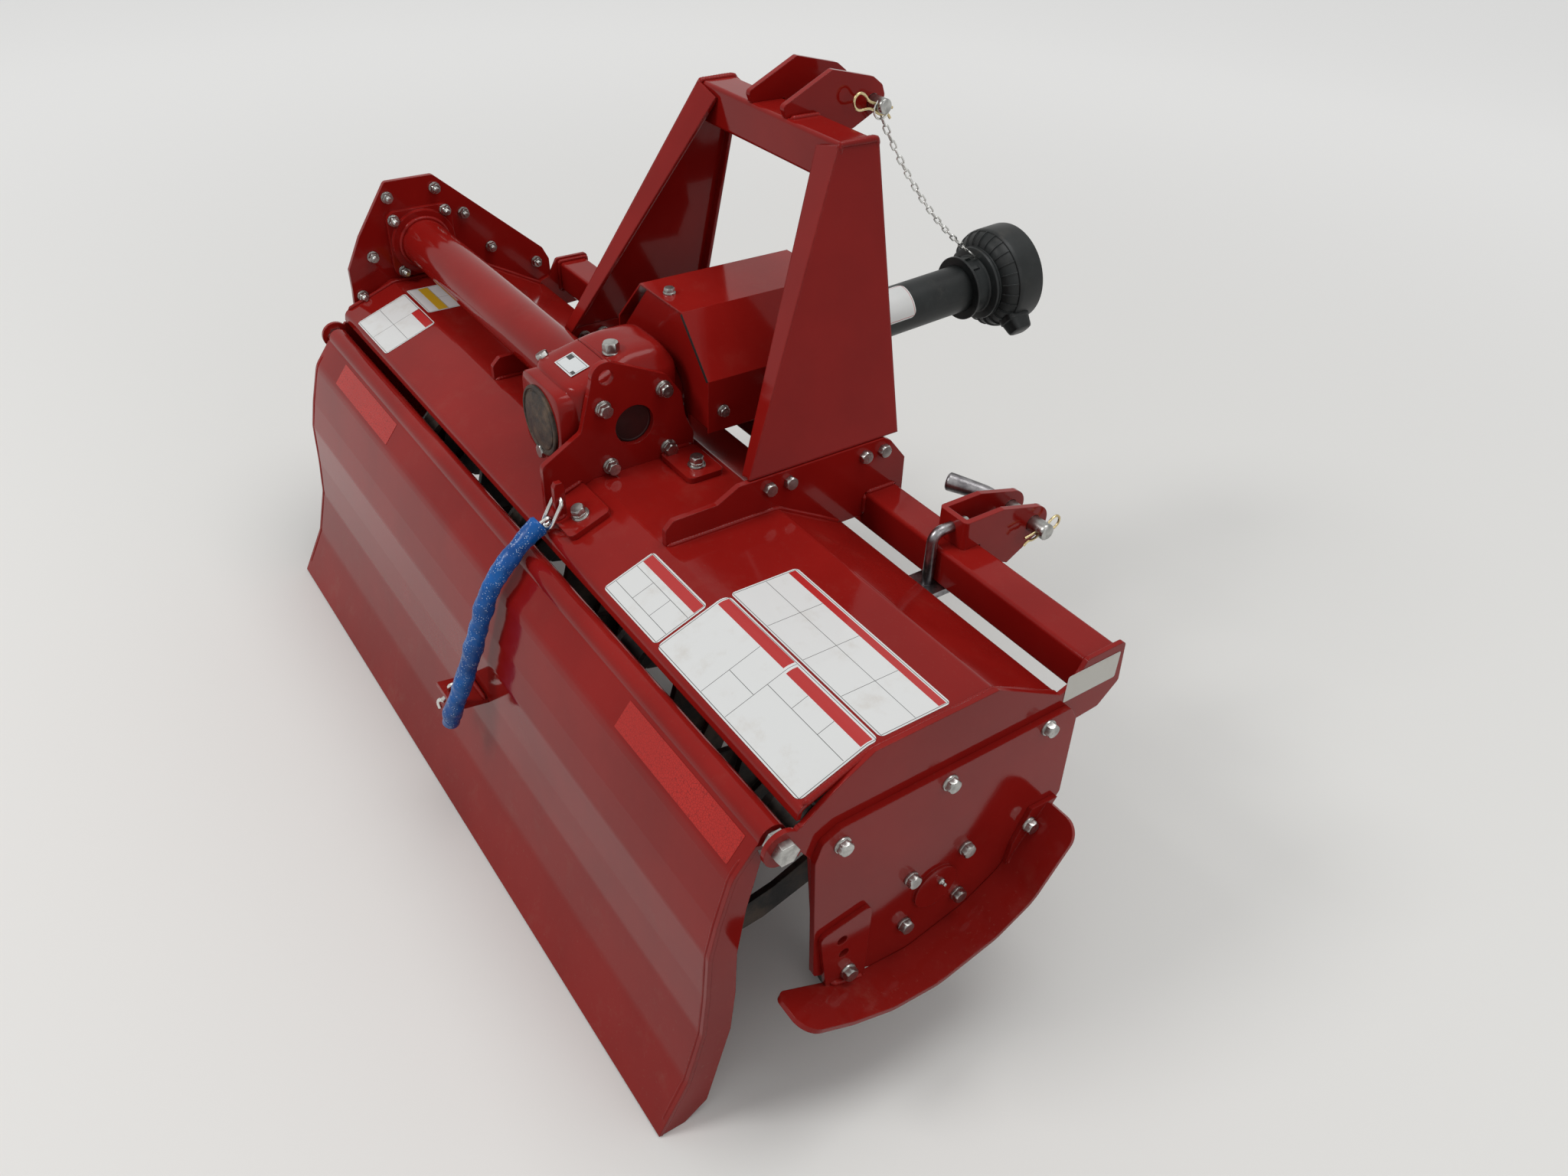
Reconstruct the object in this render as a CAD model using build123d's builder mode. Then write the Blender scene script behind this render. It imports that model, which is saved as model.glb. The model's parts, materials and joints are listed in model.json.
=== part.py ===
import os
from math import sin, cos, radians, hypot
from build123d import *

os.makedirs("parts", exist_ok=True)

# Frame and sheet sizes, mm. +X is the machine's right, +Y the tractor, +Z up, floor at 0.
side_out = 645.0  # outer face of the end plates
side_t = 6.0
side_in = side_out - side_t
bearing_t = 8.0
bearing_out = side_out + bearing_t
deck_t = 5.0
tube_size = 50.8
tube_wall = 4.0
reel_gap = 24.0  # end plate to the reel
gate_gap = 12.0  # end plate to the gate
pin_play = 0.5  # radial clearance at the hitch and hinge pins

# Turning axes
rotor_y, rotor_z = -155.5, 230.0
blade_half = 22.0  # half the width of a tine's foot
tip_turn = 15.0  # degrees from straight down to the tines that stand on the floor
foot_reach = (rotor_z - blade_half * sin(radians(tip_turn))) / cos(radians(tip_turn))
axle_r = 38.0
shaft_y, shaft_z = -198.0, 547.0  # cross shaft and gearbox input
hinge_y, hinge_z = -364.5, 417.0
gate_swing = 8.6  # degrees the stored gate leans back
roll_r = 16.0
hinge_pin_r = 8.0

# Mast and hitch
mast_top_x, mast_top_z = 153.0, 881.0
mast_foot_x, mast_foot_z = 244.0, 536.0
bracket_out = 245.7
bracket_t = 8.0
top_pin_y, top_pin_z, top_pin_r = 171.0, 884.0, 9.5
low_pin_y, low_pin_z, low_pin_r = 182.0, 460.0, 11.0
front_tube_y, front_tube_z = 66.5, 435.6
top_tube_y, top_tube_z = 63.0, 855.4
clevis_in, clevis_out = 362.0, 412.0
rod_x, rod_z, rod_r = 388.0, 484.0, 7.0

# Driveline
joint_y = -62.0
drive_rise = 3.3
rim_at = 569.0  # joint centre to bell rim
guard_r = 35.0
stub_r = 17.5
cross_r = 16.0
run_gap = 0.3  # between turning pieces and what carries them
drive_plane = Plane(
    origin=(0, joint_y, shaft_z),
    x_dir=(1, 0, 0),
    z_dir=(0, cos(radians(drive_rise)), sin(radians(drive_rise))),
)

deck_line = [(-344, 454), (-258, 487), (-100, 487), (6, 428)]
fold_r = 12.0  # bend radius of the folded sheets

# Deck sheet over the rotor, folded at the rear lip and at the front slope
with BuildPart() as deck_hood:
    with BuildSketch(Plane.YZ.offset(-side_in)):
        with BuildLine():
            FilletPolyline((-346, 440), *deck_line, radius=fold_r)
            offset(amount=deck_t, side=Side.RIGHT, kind=Kind.INTERSECTION)
        make_face()
    extrude(amount=2 * side_in)
deck_hood.part.label = "deck_hood"
export_step(deck_hood.part, "parts/deck_hood.step")

# End plates: hinge ear at the rear, horn round the tube end at the front
side_outline = [
    (-330, 380), (-346, 405), (-346, 434), (-316, 457), (-290, 474), (-260, 491), (-100, 491),
    (2, 434), (20, 440), (36, 469), (95, 469), (100, 410), (73, 383), (28, 380), (27, 290),
    (-24, 204), (-73, 160), (-138, 141), (-208, 138), (-312, 196),
]
with BuildPart() as end_plate_right:
    with BuildSketch(Plane.YZ.offset(side_in)) as side_sketch:
        Polygon(*side_outline, align=None)
        fillet([v for v in side_sketch.vertices() if v.X > 30], radius=6)
        with Locations((hinge_y, hinge_z)):
            Circle(22)
        with BuildLine():
            Polyline((-346, 395), (-364.5, 417), (-346, 436), (-330, 417), close=True)
        make_face()
        with Locations((hinge_y, hinge_z)):
            Circle(hinge_pin_r + pin_play, mode=Mode.SUBTRACT)
        with Locations((rotor_y, rotor_z)):
            Circle(45, mode=Mode.SUBTRACT)
    extrude(amount=side_t)
end_plate_right.part.label = "end_plate_right"
export_step(end_plate_right.part, "parts/end_plate_right.step")

with BuildPart() as end_plate_left:
    mirror(end_plate_right.part, about=Plane.YZ)
end_plate_left.part.label = "end_plate_left"
export_step(end_plate_left.part, "parts/end_plate_left.step")

# Outer plate that carries the right rotor bearing
bearing_outline = [
    (-330, 380), (-322, 404), (-300, 414), (16, 414), (28, 394), (32, 274), (-18, 195),
    (-68, 151), (-135, 132), (-211, 128), (-320, 189),
]
with BuildPart() as bearing_plate_right:
    with BuildSketch(Plane.YZ.offset(side_out)) as bearing_sketch:
        Polygon(*bearing_outline, align=None)
        fillet(bearing_sketch.vertices(), radius=8)
    extrude(amount=bearing_t)
    with BuildSketch(Plane.YZ.offset(bearing_out)):
        with Locations((rotor_y, rotor_z)):
            Circle(30)
    extrude(amount=4)
bearing_plate_right.part.label = "bearing_plate_right"
export_step(bearing_plate_right.part, "parts/bearing_plate_right.step")

# Tall left plate between the cross shaft and the rotor
drive_outline = [
    (-323, 483), (-323, 517), (-298, 567), (-244, 647), (-165, 647), (13, 492), (24, 470),
    (32, 274), (-18, 195), (-68, 151), (-135, 132), (-211, 128), (-320, 189), (-330, 380),
]
with BuildPart() as side_drive_plate:
    with BuildSketch(Plane.YZ.offset(-side_out)) as drive_sketch:
        Polygon(*drive_outline, align=None)
        fillet(drive_sketch.vertices(), radius=8)
    extrude(amount=-bearing_t)
side_drive_plate.part.label = "side_drive_plate"
export_step(side_drive_plate.part, "parts/side_drive_plate.step")

# Oblong cover over the gear train on the left
case_top_r, case_low_r, case_depth = 74.0, 78.0, 58.0
with BuildPart() as gear_case_cover:
    with BuildSketch(Plane.YZ.offset(-bearing_out)):
        with Locations((shaft_y, shaft_z - 20)):
            Circle(case_top_r)
        with Locations((rotor_y, rotor_z)):
            Circle(case_low_r)
        make_hull()
    extrude(amount=-case_depth)
    chamfer(gear_case_cover.edges().group_by(Axis.X)[0], length=10)
gear_case_cover.part.label = "gear_case_cover"
export_step(gear_case_cover.part, "parts/gear_case_cover.step")

with BuildPart() as front_tube:
    with BuildSketch(Plane.YZ.offset(-side_in)):
        with Locations((front_tube_y, front_tube_z)):
            RectangleRounded(tube_size, tube_size, 5)
            Rectangle(tube_size - 2 * tube_wall, tube_size - 2 * tube_wall, mode=Mode.SUBTRACT)
    extrude(amount=2 * side_in)
front_tube.part.label = "front_tube"
export_step(front_tube.part, "parts/front_tube.step")

# Upright plates that tie the mast, the tube and the deck
bracket_outline = [
    (-246, 519), (-257, 508), (-257, 487), *deck_line[2:], (41.1, 428), (41.1, 461), (91.9, 461),
    (91.9, 446), (104, 446), (103, 497), (76, 530), (66, 536), (-155, 536), (-185, 520),
]
with BuildPart() as deck_bracket_right:
    with BuildSketch(Plane.YZ.offset(bracket_out - bracket_t)) as bracket_sketch:
        Polygon(*bracket_outline, align=None)
        fillet(bracket_sketch.vertices().sort_by(Axis.Y)[-6:], radius=5)
    extrude(amount=bracket_t)
deck_bracket_right.part.label = "deck_bracket_right"
export_step(deck_bracket_right.part, "parts/deck_bracket_right.step")

with BuildPart() as deck_bracket_left:
    mirror(deck_bracket_right.part, about=Plane.YZ)
    with BuildSketch(Plane.YZ.offset(-bracket_out)):
        with Locations((shaft_y, shaft_z)):
            Circle(axle_r)
    extrude(amount=bracket_t, mode=Mode.SUBTRACT)
deck_bracket_left.part.label = "deck_bracket_left"
export_step(deck_bracket_left.part, "parts/deck_bracket_left.step")

# Splayed mast leg: a web with flanges turned in along both edges
leg_run = hypot(mast_foot_x - mast_top_x, mast_top_z - mast_foot_z)
leg_cos = (mast_top_z - mast_foot_z) / leg_run
leg_sin = (mast_foot_x - mast_top_x) / leg_run
leg_plane = Plane(
    origin=(mast_top_x, 0, mast_top_z), x_dir=(0, 1, 0), z_dir=(leg_cos, 0, leg_sin)
)
leg_t = 5.0
leg_web = [(34, 0), (92, 0), (88, -355.2), (-140, -355.2)]
with BuildPart() as mast_leg_right:
    with BuildSketch(leg_plane):
        Polygon(*leg_web, align=None)
    extrude(amount=-leg_t)
    rear_dir = leg_plane.from_local_coords(leg_web[3]) - leg_plane.from_local_coords(leg_web[0])
    rear_plane = Plane(
        origin=leg_plane.from_local_coords(leg_web[0]), x_dir=rear_dir,
        z_dir=rear_dir.cross(leg_plane.z_dir),
    )
    with BuildSketch(rear_plane):
        Polygon((0, 0), (rear_dir.length - 3, 0), (rear_dir.length - 3, -18), (0, -45), align=None)
    extrude(amount=-leg_t)
    front_dir = leg_plane.from_local_coords(leg_web[2]) - leg_plane.from_local_coords(leg_web[1])
    front_plane = Plane(
        origin=leg_plane.from_local_coords(leg_web[1]), x_dir=front_dir,
        z_dir=front_dir.cross(leg_plane.z_dir),
    )
    with BuildSketch(front_plane):
        Polygon((0, 0), (front_dir.length - 3, 0), (front_dir.length - 3, -16), (0, -16), align=None)
    extrude(amount=leg_t)
mast_leg_right.part.label = "mast_leg_right"
export_step(mast_leg_right.part, "parts/mast_leg_right.step")

with BuildPart() as mast_leg_left:
    mirror(mast_leg_right.part, about=Plane.YZ)
mast_leg_left.part.label = "mast_leg_left"
export_step(mast_leg_left.part, "parts/mast_leg_left.step")

with BuildPart() as mast_cross_tube:
    with BuildSketch(Plane.YZ.offset(-146)):
        with Locations((top_tube_y, top_tube_z)):
            RectangleRounded(tube_size, tube_size, 5)
            Rectangle(tube_size - 2 * tube_wall, tube_size - 2 * tube_wall, mode=Mode.SUBTRACT)
    extrude(amount=292)
    add([mast_leg_right.part, mast_leg_left.part], mode=Mode.SUBTRACT)
mast_cross_tube.part.label = "mast_cross_tube"
export_step(mast_cross_tube.part, "parts/mast_cross_tube.step")

# Top link clevis: two plates standing on the cross tube
top_outline = [
    (39, 880.8), (33, 894), (105, 929), (169, 914), (184, 903), (189, 890), (183, 876),
    (143, 856), (88.4, 842), (88.4, 880.8),
]
with BuildPart() as top_clevis:
    for plate_x in (-41, 33):
        with BuildSketch(Plane.YZ.offset(plate_x)) as top_sketch:
            Polygon(*top_outline, align=None)
            fillet(top_sketch.vertices().sort_by(Axis.Y)[-5:], radius=6)
            with Locations((top_pin_y, top_pin_z)):
                Circle(top_pin_r + pin_play, mode=Mode.SUBTRACT)
        extrude(amount=8)
top_clevis.part.label = "top_clevis"
export_step(top_clevis.part, "parts/top_clevis.step")

with BuildPart() as top_link_pin:
    for start, length, radius in ((-48, 7, 16), (-41, 106, top_pin_r)):
        with BuildSketch(Plane.YZ.offset(start)):
            with Locations((top_pin_y, top_pin_z)):
                Circle(radius)
        extrude(amount=length)
top_link_pin.part.label = "top_link_pin"
export_step(top_link_pin.part, "parts/top_link_pin.step")

# Lower hitch clevis: rear wall on the tube and two arms forward round the pin
arm_outline = [
    (62, 461), (62, 500), (125, 500), (186, 483.6), (200, 444), (146, 412), (108, 430), (91.9, 452),
    (91.9, 461),
]
nose_r = 24.0
with BuildPart() as lower_clevis_right:
    for arm_x in (clevis_in, clevis_out - 8):
        with BuildSketch(Plane.YZ.offset(arm_x)):
            Polygon(*arm_outline, align=None)
            with Locations((low_pin_y, low_pin_z)):
                Circle(nose_r)
                Circle(low_pin_r + pin_play, mode=Mode.SUBTRACT)
        extrude(amount=8)
    with BuildSketch(Plane.XZ.offset(-62)):
        Polygon((clevis_in, 461), (clevis_out, 461), (clevis_out, 500), (clevis_in, 500), align=None)
        with Locations((rod_x, rod_z)):
            Circle(rod_r, mode=Mode.SUBTRACT)
    extrude(amount=-8)
    fillet(lower_clevis_right.edges().filter_by(Axis.Z).group_by(Axis.Y)[0], radius=7)
lower_clevis_right.part.label = "lower_clevis_right"
export_step(lower_clevis_right.part, "parts/lower_clevis_right.step")

with BuildPart() as lower_clevis_left:
    mirror(lower_clevis_right.part, about=Plane.YZ)
lower_clevis_left.part.label = "lower_clevis_left"
export_step(lower_clevis_left.part, "parts/lower_clevis_left.step")

with BuildPart() as lower_pin_right:
    for start, length, radius in ((clevis_in - 10, 10, 15), (clevis_in, 74, low_pin_r)):
        with BuildSketch(Plane.YZ.offset(start)):
            with Locations((low_pin_y, low_pin_z)):
                Circle(radius)
        extrude(amount=length)
lower_pin_right.part.label = "lower_pin_right"
export_step(lower_pin_right.part, "parts/lower_pin_right.step")

with BuildPart() as lower_pin_left:
    mirror(lower_pin_right.part, about=Plane.YZ)
lower_pin_left.part.label = "lower_pin_left"
export_step(lower_pin_left.part, "parts/lower_pin_left.step")

# Clamp rod behind the tube with the plate under it
with BuildPart() as clamp_rod_right:
    with BuildLine():
        FilletPolyline((rod_x, 72, rod_z), (rod_x, 33, rod_z), (rod_x, 33, 388), radius=14)
    with BuildSketch(Plane((rod_x, 72, rod_z), z_dir=(0, -1, 0))):
        Circle(rod_r)
    sweep()
    with BuildSketch(Plane.XY.offset(410.2)):
        with Locations((rod_x, 62)):
            Rectangle(46, 84)
    extrude(amount=-9)
clamp_rod_right.part.label = "clamp_rod_right"
export_step(clamp_rod_right.part, "parts/clamp_rod_right.step")

with BuildPart() as clamp_rod_left:
    mirror(clamp_rod_right.part, about=Plane.YZ)
clamp_rod_left.part.label = "clamp_rod_left"
export_step(clamp_rod_left.part, "parts/clamp_rod_left.step")

# Gearbox between its two side plates, with a square boss for the rear cap
box_half, box_low, box_high = 62.0, 488.0, 612.0
box_rear, box_front = -278.0, -118.0
boss_t = 14.0
with BuildPart() as gearbox_housing:
    with BuildSketch(Plane.XY.offset(box_low)):
        with Locations((0, (box_rear + box_front) / 2)):
            RectangleRounded(2 * box_half, box_front - box_rear, 18)
    extrude(amount=box_high - box_low)
    chamfer(gearbox_housing.edges().group_by(Axis.Z)[-1], length=13)
    with BuildSketch(Plane.XZ.offset(-box_rear)):
        with Locations((0, shaft_z)):
            RectangleRounded(108, 108, 24)
    extrude(amount=boss_t)
    with BuildSketch(drive_plane.offset(-80)):
        Circle(42)
    extrude(amount=40)
    with BuildSketch(drive_plane.offset(-64)):
        Circle(stub_r + pin_play)
    extrude(amount=24, mode=Mode.SUBTRACT)
gearbox_housing.part.label = "gearbox_housing"
export_step(gearbox_housing.part, "parts/gearbox_housing.step")

with BuildPart() as gearbox_rear_cap:
    for start, length, radius in ((0, 5, 43), (5, 3, 30)):
        with BuildSketch(Plane.XZ.offset(-box_rear + boss_t + start)):
            with Locations((0, shaft_z)):
                Circle(radius)
        extrude(amount=length)
gearbox_rear_cap.part.label = "gearbox_rear_cap"
export_step(gearbox_rear_cap.part, "parts/gearbox_rear_cap.step")

# Right gearbox plate with the lifting eye, two feet on the deck and the chain's tab
plate_t, foot_t, foot_w = 8.0, 8.0, 76.0
eye_y, eye_z, eye_r = -234.0, 622.0, 10.0
plate_outline = [
    (-327, 461), (-327, 524), (-272, 556), (-254, 622), (-226, 640.5), (-150, 604), (-130, 575),
    (-124, 540), (-112, 512), (-112, 487), (-258, 487),
]
slope_dir = Vector(0, deck_line[1][0] - deck_line[0][0], deck_line[1][1] - deck_line[0][1]).normalized()
rear_foot_plane = Plane(
    origin=Vector(box_half + plate_t + foot_w / 2, *deck_line[0]) + slope_dir * 46, x_dir=(1, 0, 0),
    z_dir=(0, -slope_dir.Z, slope_dir.Y),
)
with BuildPart() as gearbox_plate_right:
    with BuildSketch(Plane.YZ.offset(box_half)) as plate_sketch:
        Polygon(*plate_outline, align=None)
        fillet([v for v in plate_sketch.vertices() if 510 < v.Y < 610], radius=10)
        with Locations((eye_y, eye_z)):
            Circle(eye_r + 10)
            Circle(eye_r, mode=Mode.SUBTRACT)
        with Locations((shaft_y, shaft_z)):
            Circle(27, mode=Mode.SUBTRACT)
    extrude(amount=plate_t)
    with BuildSketch(Plane.XY.offset(deck_line[1][1])):
        with Locations((box_half + plate_t + foot_w / 2, -138)):
            RectangleRounded(foot_w, 52, 8)
    extrude(amount=foot_t)
    with BuildSketch(rear_foot_plane):
        RectangleRounded(foot_w, 60, 8)
    extrude(amount=foot_t)
    with BuildSketch(Plane.YZ.offset(98)):
        Polygon((-330, 466), (-316, 466), (-316, 514), (-319, 520), (-327, 520), (-330, 514), align=None)
    extrude(amount=8)
gearbox_plate_right.part.label = "gearbox_plate_right"
export_step(gearbox_plate_right.part, "parts/gearbox_plate_right.step")

with BuildPart() as gearbox_plate_left:
    with BuildSketch(Plane.YZ.offset(-box_half)):
        Polygon((-256, 487), (-270, 558), (-240, 600), (-147, 600), (-115, 549), (-112, 487), align=None)
    extrude(amount=-plate_t)
    with BuildSketch(Plane.XY.offset(deck_line[1][1])):
        for foot_y in (-226, -138):
            with Locations((-box_half - plate_t - foot_w / 2, foot_y)):
                RectangleRounded(foot_w, 52, 8)
    extrude(amount=foot_t)
gearbox_plate_left.part.label = "gearbox_plate_left"
export_step(gearbox_plate_left.part, "parts/gearbox_plate_left.step")

# Cross shaft tube from the gearbox to the left drive plate
flange_w = 108.0
with BuildPart() as axle_tube:
    with BuildSketch(Plane.YZ.offset(-side_out)):
        with Locations((shaft_y, shaft_z)):
            RectangleRounded(flange_w, flange_w, 16)
    extrude(amount=8)
    box_end = box_half + plate_t
    for start, length, radius in (
        (-side_out, side_out - box_end, axle_r), (-side_out, 16, 52), (-box_end - 14, 14, 50)
    ):
        with BuildSketch(Plane.YZ.offset(start)):
            with Locations((shaft_y, shaft_z)):
                Circle(radius)
        extrude(amount=length)
axle_tube.part.label = "axle_tube"
export_step(axle_tube.part, "parts/axle_tube.step")

# Sheet hood over the input joint
hood_rear, hood_front = -117.0, 115.0
hood_outline = [(115, 532), (115, 604), (52, 672), (-52, 672), (-115, 604), (-115, 532)]
hood_inner = [(112.5, 520), (112.5, 602.9), (50.9, 669.5), (-50.9, 669.5), (-112.5, 602.9), (-112.5, 520)]
with BuildPart() as pto_hood:
    with BuildSketch(Plane.XZ.offset(-hood_rear)):
        Polygon(*hood_outline, align=None)
        Polygon(*hood_inner, align=None, mode=Mode.SUBTRACT)
    extrude(amount=hood_rear - hood_front)
    with BuildSketch(Plane.XZ.offset(-hood_rear - 6)):
        Polygon((113, 532), (113, 585), (40, 670), (-40, 670), (-113, 585), (-113, 532), (-55, 532),
                (-55, 487), (55, 487), (55, 532), align=None)
        with Locations((0, shaft_z)):
            Circle(46, mode=Mode.SUBTRACT)
    extrude(amount=-4)
pto_hood.part.label = "pto_hood"
export_step(pto_hood.part, "parts/pto_hood.step")

# Skid shoe: a wide bent sole with rounded ends, on a rear bar with spare holes and a front bracket
sole_line = [(-373, 197), (-308, 162), (-250, 140), (-182, 133), (-98, 154), (-46, 185), (11, 274)]
sole_t, sole_w, bar_t, bolt_r = 6.0, 57.0, 6.0, 6.5
with BuildPart() as skid_right:
    with BuildSketch(Plane.YZ.offset(bearing_out + 0.5)):
        with BuildLine():
            FilletPolyline(*sole_line, radius=60)
            offset(amount=sole_t, side=Side.LEFT)
        make_face()
    extrude(amount=sole_w)
    fillet([e for e in skid_right.edges().group_by(Axis.X)[-1] if e.length < sole_t + 0.1], radius=24)
    fillet([e for e in skid_right.edges().group_by(Axis.X)[0] if e.length < sole_t + 0.1], radius=12)
    with BuildSketch(Plane.YZ.offset(bearing_out)) as bar_sketch:
        Polygon((-319, 258), (-251, 269), (-251, 144), (-306, 165), align=None)
        fillet(bar_sketch.vertices().sort_by(Axis.Y)[-2:], radius=8)
        Polygon((-19, 277), (22, 275), (14, 262), (-14, 222), (-46, 191), (-40, 230), align=None)
        for hole_y, hole_z in ((-289, 236), (-285, 211), (-277, 152)):
            with Locations((hole_y, hole_z)):
                Circle(bolt_r, mode=Mode.SUBTRACT)
    extrude(amount=bar_t)
skid_right.part.label = "skid_right"
export_step(skid_right.part, "parts/skid_right.step")

with BuildPart() as skid_left:
    mirror(skid_right.part, about=Plane.YZ)
skid_left.part.label = "skid_left"
export_step(skid_left.part, "parts/skid_left.step")

# Hinge bolts with a nut inside the ear
gate_half = side_in - gate_gap
nut_t, nut_r = 9.0, 14.0
with BuildPart() as hinge_pin_right:
    with BuildSketch(Plane.YZ.offset(gate_half - 42)):
        with Locations((hinge_y, hinge_z)):
            Circle(hinge_pin_r)
    extrude(amount=side_out - gate_half + 42)
    for start in (side_out, side_in - nut_t):
        with BuildSketch(Plane.YZ.offset(start)):
            with Locations((hinge_y, hinge_z)):
                RegularPolygon(nut_r, 6)
        extrude(amount=nut_t)
hinge_pin_right.part.label = "hinge_pin_right"
export_step(hinge_pin_right.part, "parts/hinge_pin_right.step")

with BuildPart() as hinge_pin_left:
    mirror(hinge_pin_right.part, about=Plane.YZ)
hinge_pin_left.part.label = "hinge_pin_left"
export_step(hinge_pin_left.part, "parts/hinge_pin_left.step")

# Tailgate: distances run down from the hinge and back from it, then lean back as stored
lean = radians(gate_swing)
gate_down = Vector(0, -sin(lean), -cos(lean))
gate_t = 5.0
gate_line = [(4, 18), (42, 39), (105, 47), (150, 50), (216, 43), (277, 39), (352, 47), (430.5, 73.2)]
flange_line = [(25, 8), (92, 14), (159, 14), (223, 5), (287, 1), (404, 14), (428, 40)]


def gate_plane(x):
    return Plane(origin=(x, hinge_y, hinge_z), x_dir=gate_down, z_dir=(1, 0, 0))


with BuildPart() as tailgate_sheet:
    with BuildSketch(gate_plane(-gate_half)):
        with BuildLine():
            FilletPolyline(*[(u, -v) for u, v in gate_line], radius=40)
            offset(amount=gate_t, side=Side.LEFT, kind=Kind.INTERSECTION)
        make_face()
        Polygon((-2, -14), (4, -18), (10, -16), (12, -9), (4, -6), align=None)
        Circle(roll_r)
        Circle(hinge_pin_r + pin_play, mode=Mode.SUBTRACT)
    extrude(amount=2 * gate_half)
tailgate_sheet.part.label = "tailgate_sheet"
export_step(tailgate_sheet.part, "parts/tailgate_sheet.step")

with BuildPart() as tailgate_end_right:
    with BuildSketch(gate_plane(gate_half - 6)):
        with BuildLine():
            sheet_edge = FilletPolyline(*[(u, -v) for u, v in gate_line], radius=40)
            Polyline(sheet_edge @ 1, *[(u, -v) for u, v in flange_line[::-1]], sheet_edge @ 0)
        make_face()
    extrude(amount=6)
    add(tailgate_sheet.part, mode=Mode.SUBTRACT)
tailgate_end_right.part.label = "tailgate_end_right"
export_step(tailgate_end_right.part, "parts/tailgate_end_right.step")

with BuildPart() as tailgate_end_left:
    mirror(tailgate_end_right.part, about=Plane.YZ)
tailgate_end_left.part.label = "tailgate_end_left"
export_step(tailgate_end_left.part, "parts/tailgate_end_left.step")

lug_down, lug_x, chain_r = 219.0, 50.0, 9.0
gate_hook = gate_plane(lug_x).from_local_coords((lug_down + 14, -68, 0))
gate_chain_line = [(100, -335.7, 490), (99, -366, 466), (92, -425, 408), (78, -450, 318)]
with BuildPart() as tailgate_lug:
    with BuildSketch(gate_plane(lug_x - 30)):
        Polygon((lug_down, -38), (lug_down + 6, -38), (lug_down + 6, -90), (lug_down, -90), align=None)
    extrude(amount=60)
    with BuildSketch(Plane(gate_hook, z_dir=gate_hook - Vector(*gate_chain_line[-1]))):
        Circle(chain_r + run_gap)
    extrude(amount=40, both=True, mode=Mode.SUBTRACT)
    add(tailgate_sheet.part, mode=Mode.SUBTRACT)
tailgate_lug.part.label = "tailgate_lug"
export_step(tailgate_lug.part, "parts/tailgate_lug.step")

# Rotor: stub axles that run in the bearings, and the reel between them
reel_half = side_in - reel_gap
with BuildPart() as rotor_stubs:
    for start in (-side_out, reel_half):
        with BuildSketch(Plane.YZ.offset(start)):
            with Locations((rotor_y, rotor_z)):
                Circle(stub_r)
        extrude(amount=side_out - reel_half)
rotor_stubs.part.label = "rotor_stubs"
export_step(rotor_stubs.part, "parts/rotor_stubs.step")

# One L-shaped tine: a bent strap, cut to a curved leg that is narrow above its foot
tine_t, foot_len, bend = 8.0, 62.0, 20.0
with BuildPart() as tine:
    with BuildSketch(Plane.XZ):
        with BuildLine():
            Polyline(
                (50, 0), (foot_reach - bend, 0), (foot_reach - 6, 6), (foot_reach, bend), (foot_reach, foot_len)
            )
            offset(amount=tine_t, side=Side.LEFT, kind=Kind.INTERSECTION)
        make_face()
    extrude(amount=2 * blade_half, both=True)
    with BuildSketch(Plane.XY):
        Polygon(
            (48, -blade_half), (100, -31), (165, -34), (foot_reach, -blade_half), (foot_reach, blade_half),
            (190, 10), (140, 6), (90, 12), (48, blade_half), align=None,
        )
    extrude(amount=2 * foot_len, both=True, mode=Mode.INTERSECT)

# Tine flanges along the shaft; alternate flanges are turned half a tine pitch
flange_count, tines_per_flange = 8, 6
flange_r, flange_t = 92.0, 10.0
flange_span = 2 * (reel_half - foot_len - 10.5)
with BuildPart() as rotor_tines:
    with BuildSketch(Plane.YZ.offset(-reel_half)):
        with Locations((rotor_y, rotor_z)):
            Circle(36)
    extrude(amount=2 * reel_half)
    for n in range(flange_count):
        flange_x = -flange_span / 2 + n * flange_span / (flange_count - 1)
        with BuildSketch(Plane.YZ.offset(flange_x - flange_t / 2)):
            with Locations((rotor_y, rotor_z)):
                RegularPolygon(flange_r, 12)
        extrude(amount=flange_t)
        for k in range(tines_per_flange):
            turn = radians(tip_turn + 2 * tip_turn * (n % 2) + 60 * k - 90)
            side = 1 if k % 2 else -1
            blade = Plane(
                origin=(flange_x + side * flange_t / 2, rotor_y, rotor_z),
                x_dir=(0, cos(turn), sin(turn)), z_dir=(side, 0, 0),
            )
            add(tine.part.moved(blade.location))
rotor_tines.part.label = "rotor_tines"
export_step(rotor_tines.part, "parts/rotor_tines.step")

# Turning fork on the gearbox; its ears hold the round cross block of the driveline
ear_in, ear_out, ear_half = cross_r + run_gap, 26.0, 12.0
with BuildPart() as input_yoke:
    for start, length, radius in ((-62, 26, stub_r), (-38, 12, ear_out)):
        with BuildSketch(drive_plane.offset(start)):
            Circle(radius)
        extrude(amount=length)
    for side in (-1, 1):
        with BuildSketch(drive_plane.offset(-28)):
            with Locations((side * (ear_in + ear_out) / 2, 0)):
                Rectangle(ear_out - ear_in, 2 * ear_half)
        extrude(amount=38)
input_yoke.part.label = "input_yoke"
export_step(input_yoke.part, "parts/input_yoke.step")

# Driveline guard: radius and distance from the joint along the sloping axis
with BuildPart() as guard_tube:
    with BuildSketch(drive_plane.offset(40)):
        Circle(guard_r)
        Circle(guard_r - 4, mode=Mode.SUBTRACT)
    extrude(amount=430)
guard_tube.part.label = "guard_tube"
export_step(guard_tube.part, "parts/guard_tube.step")

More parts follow.
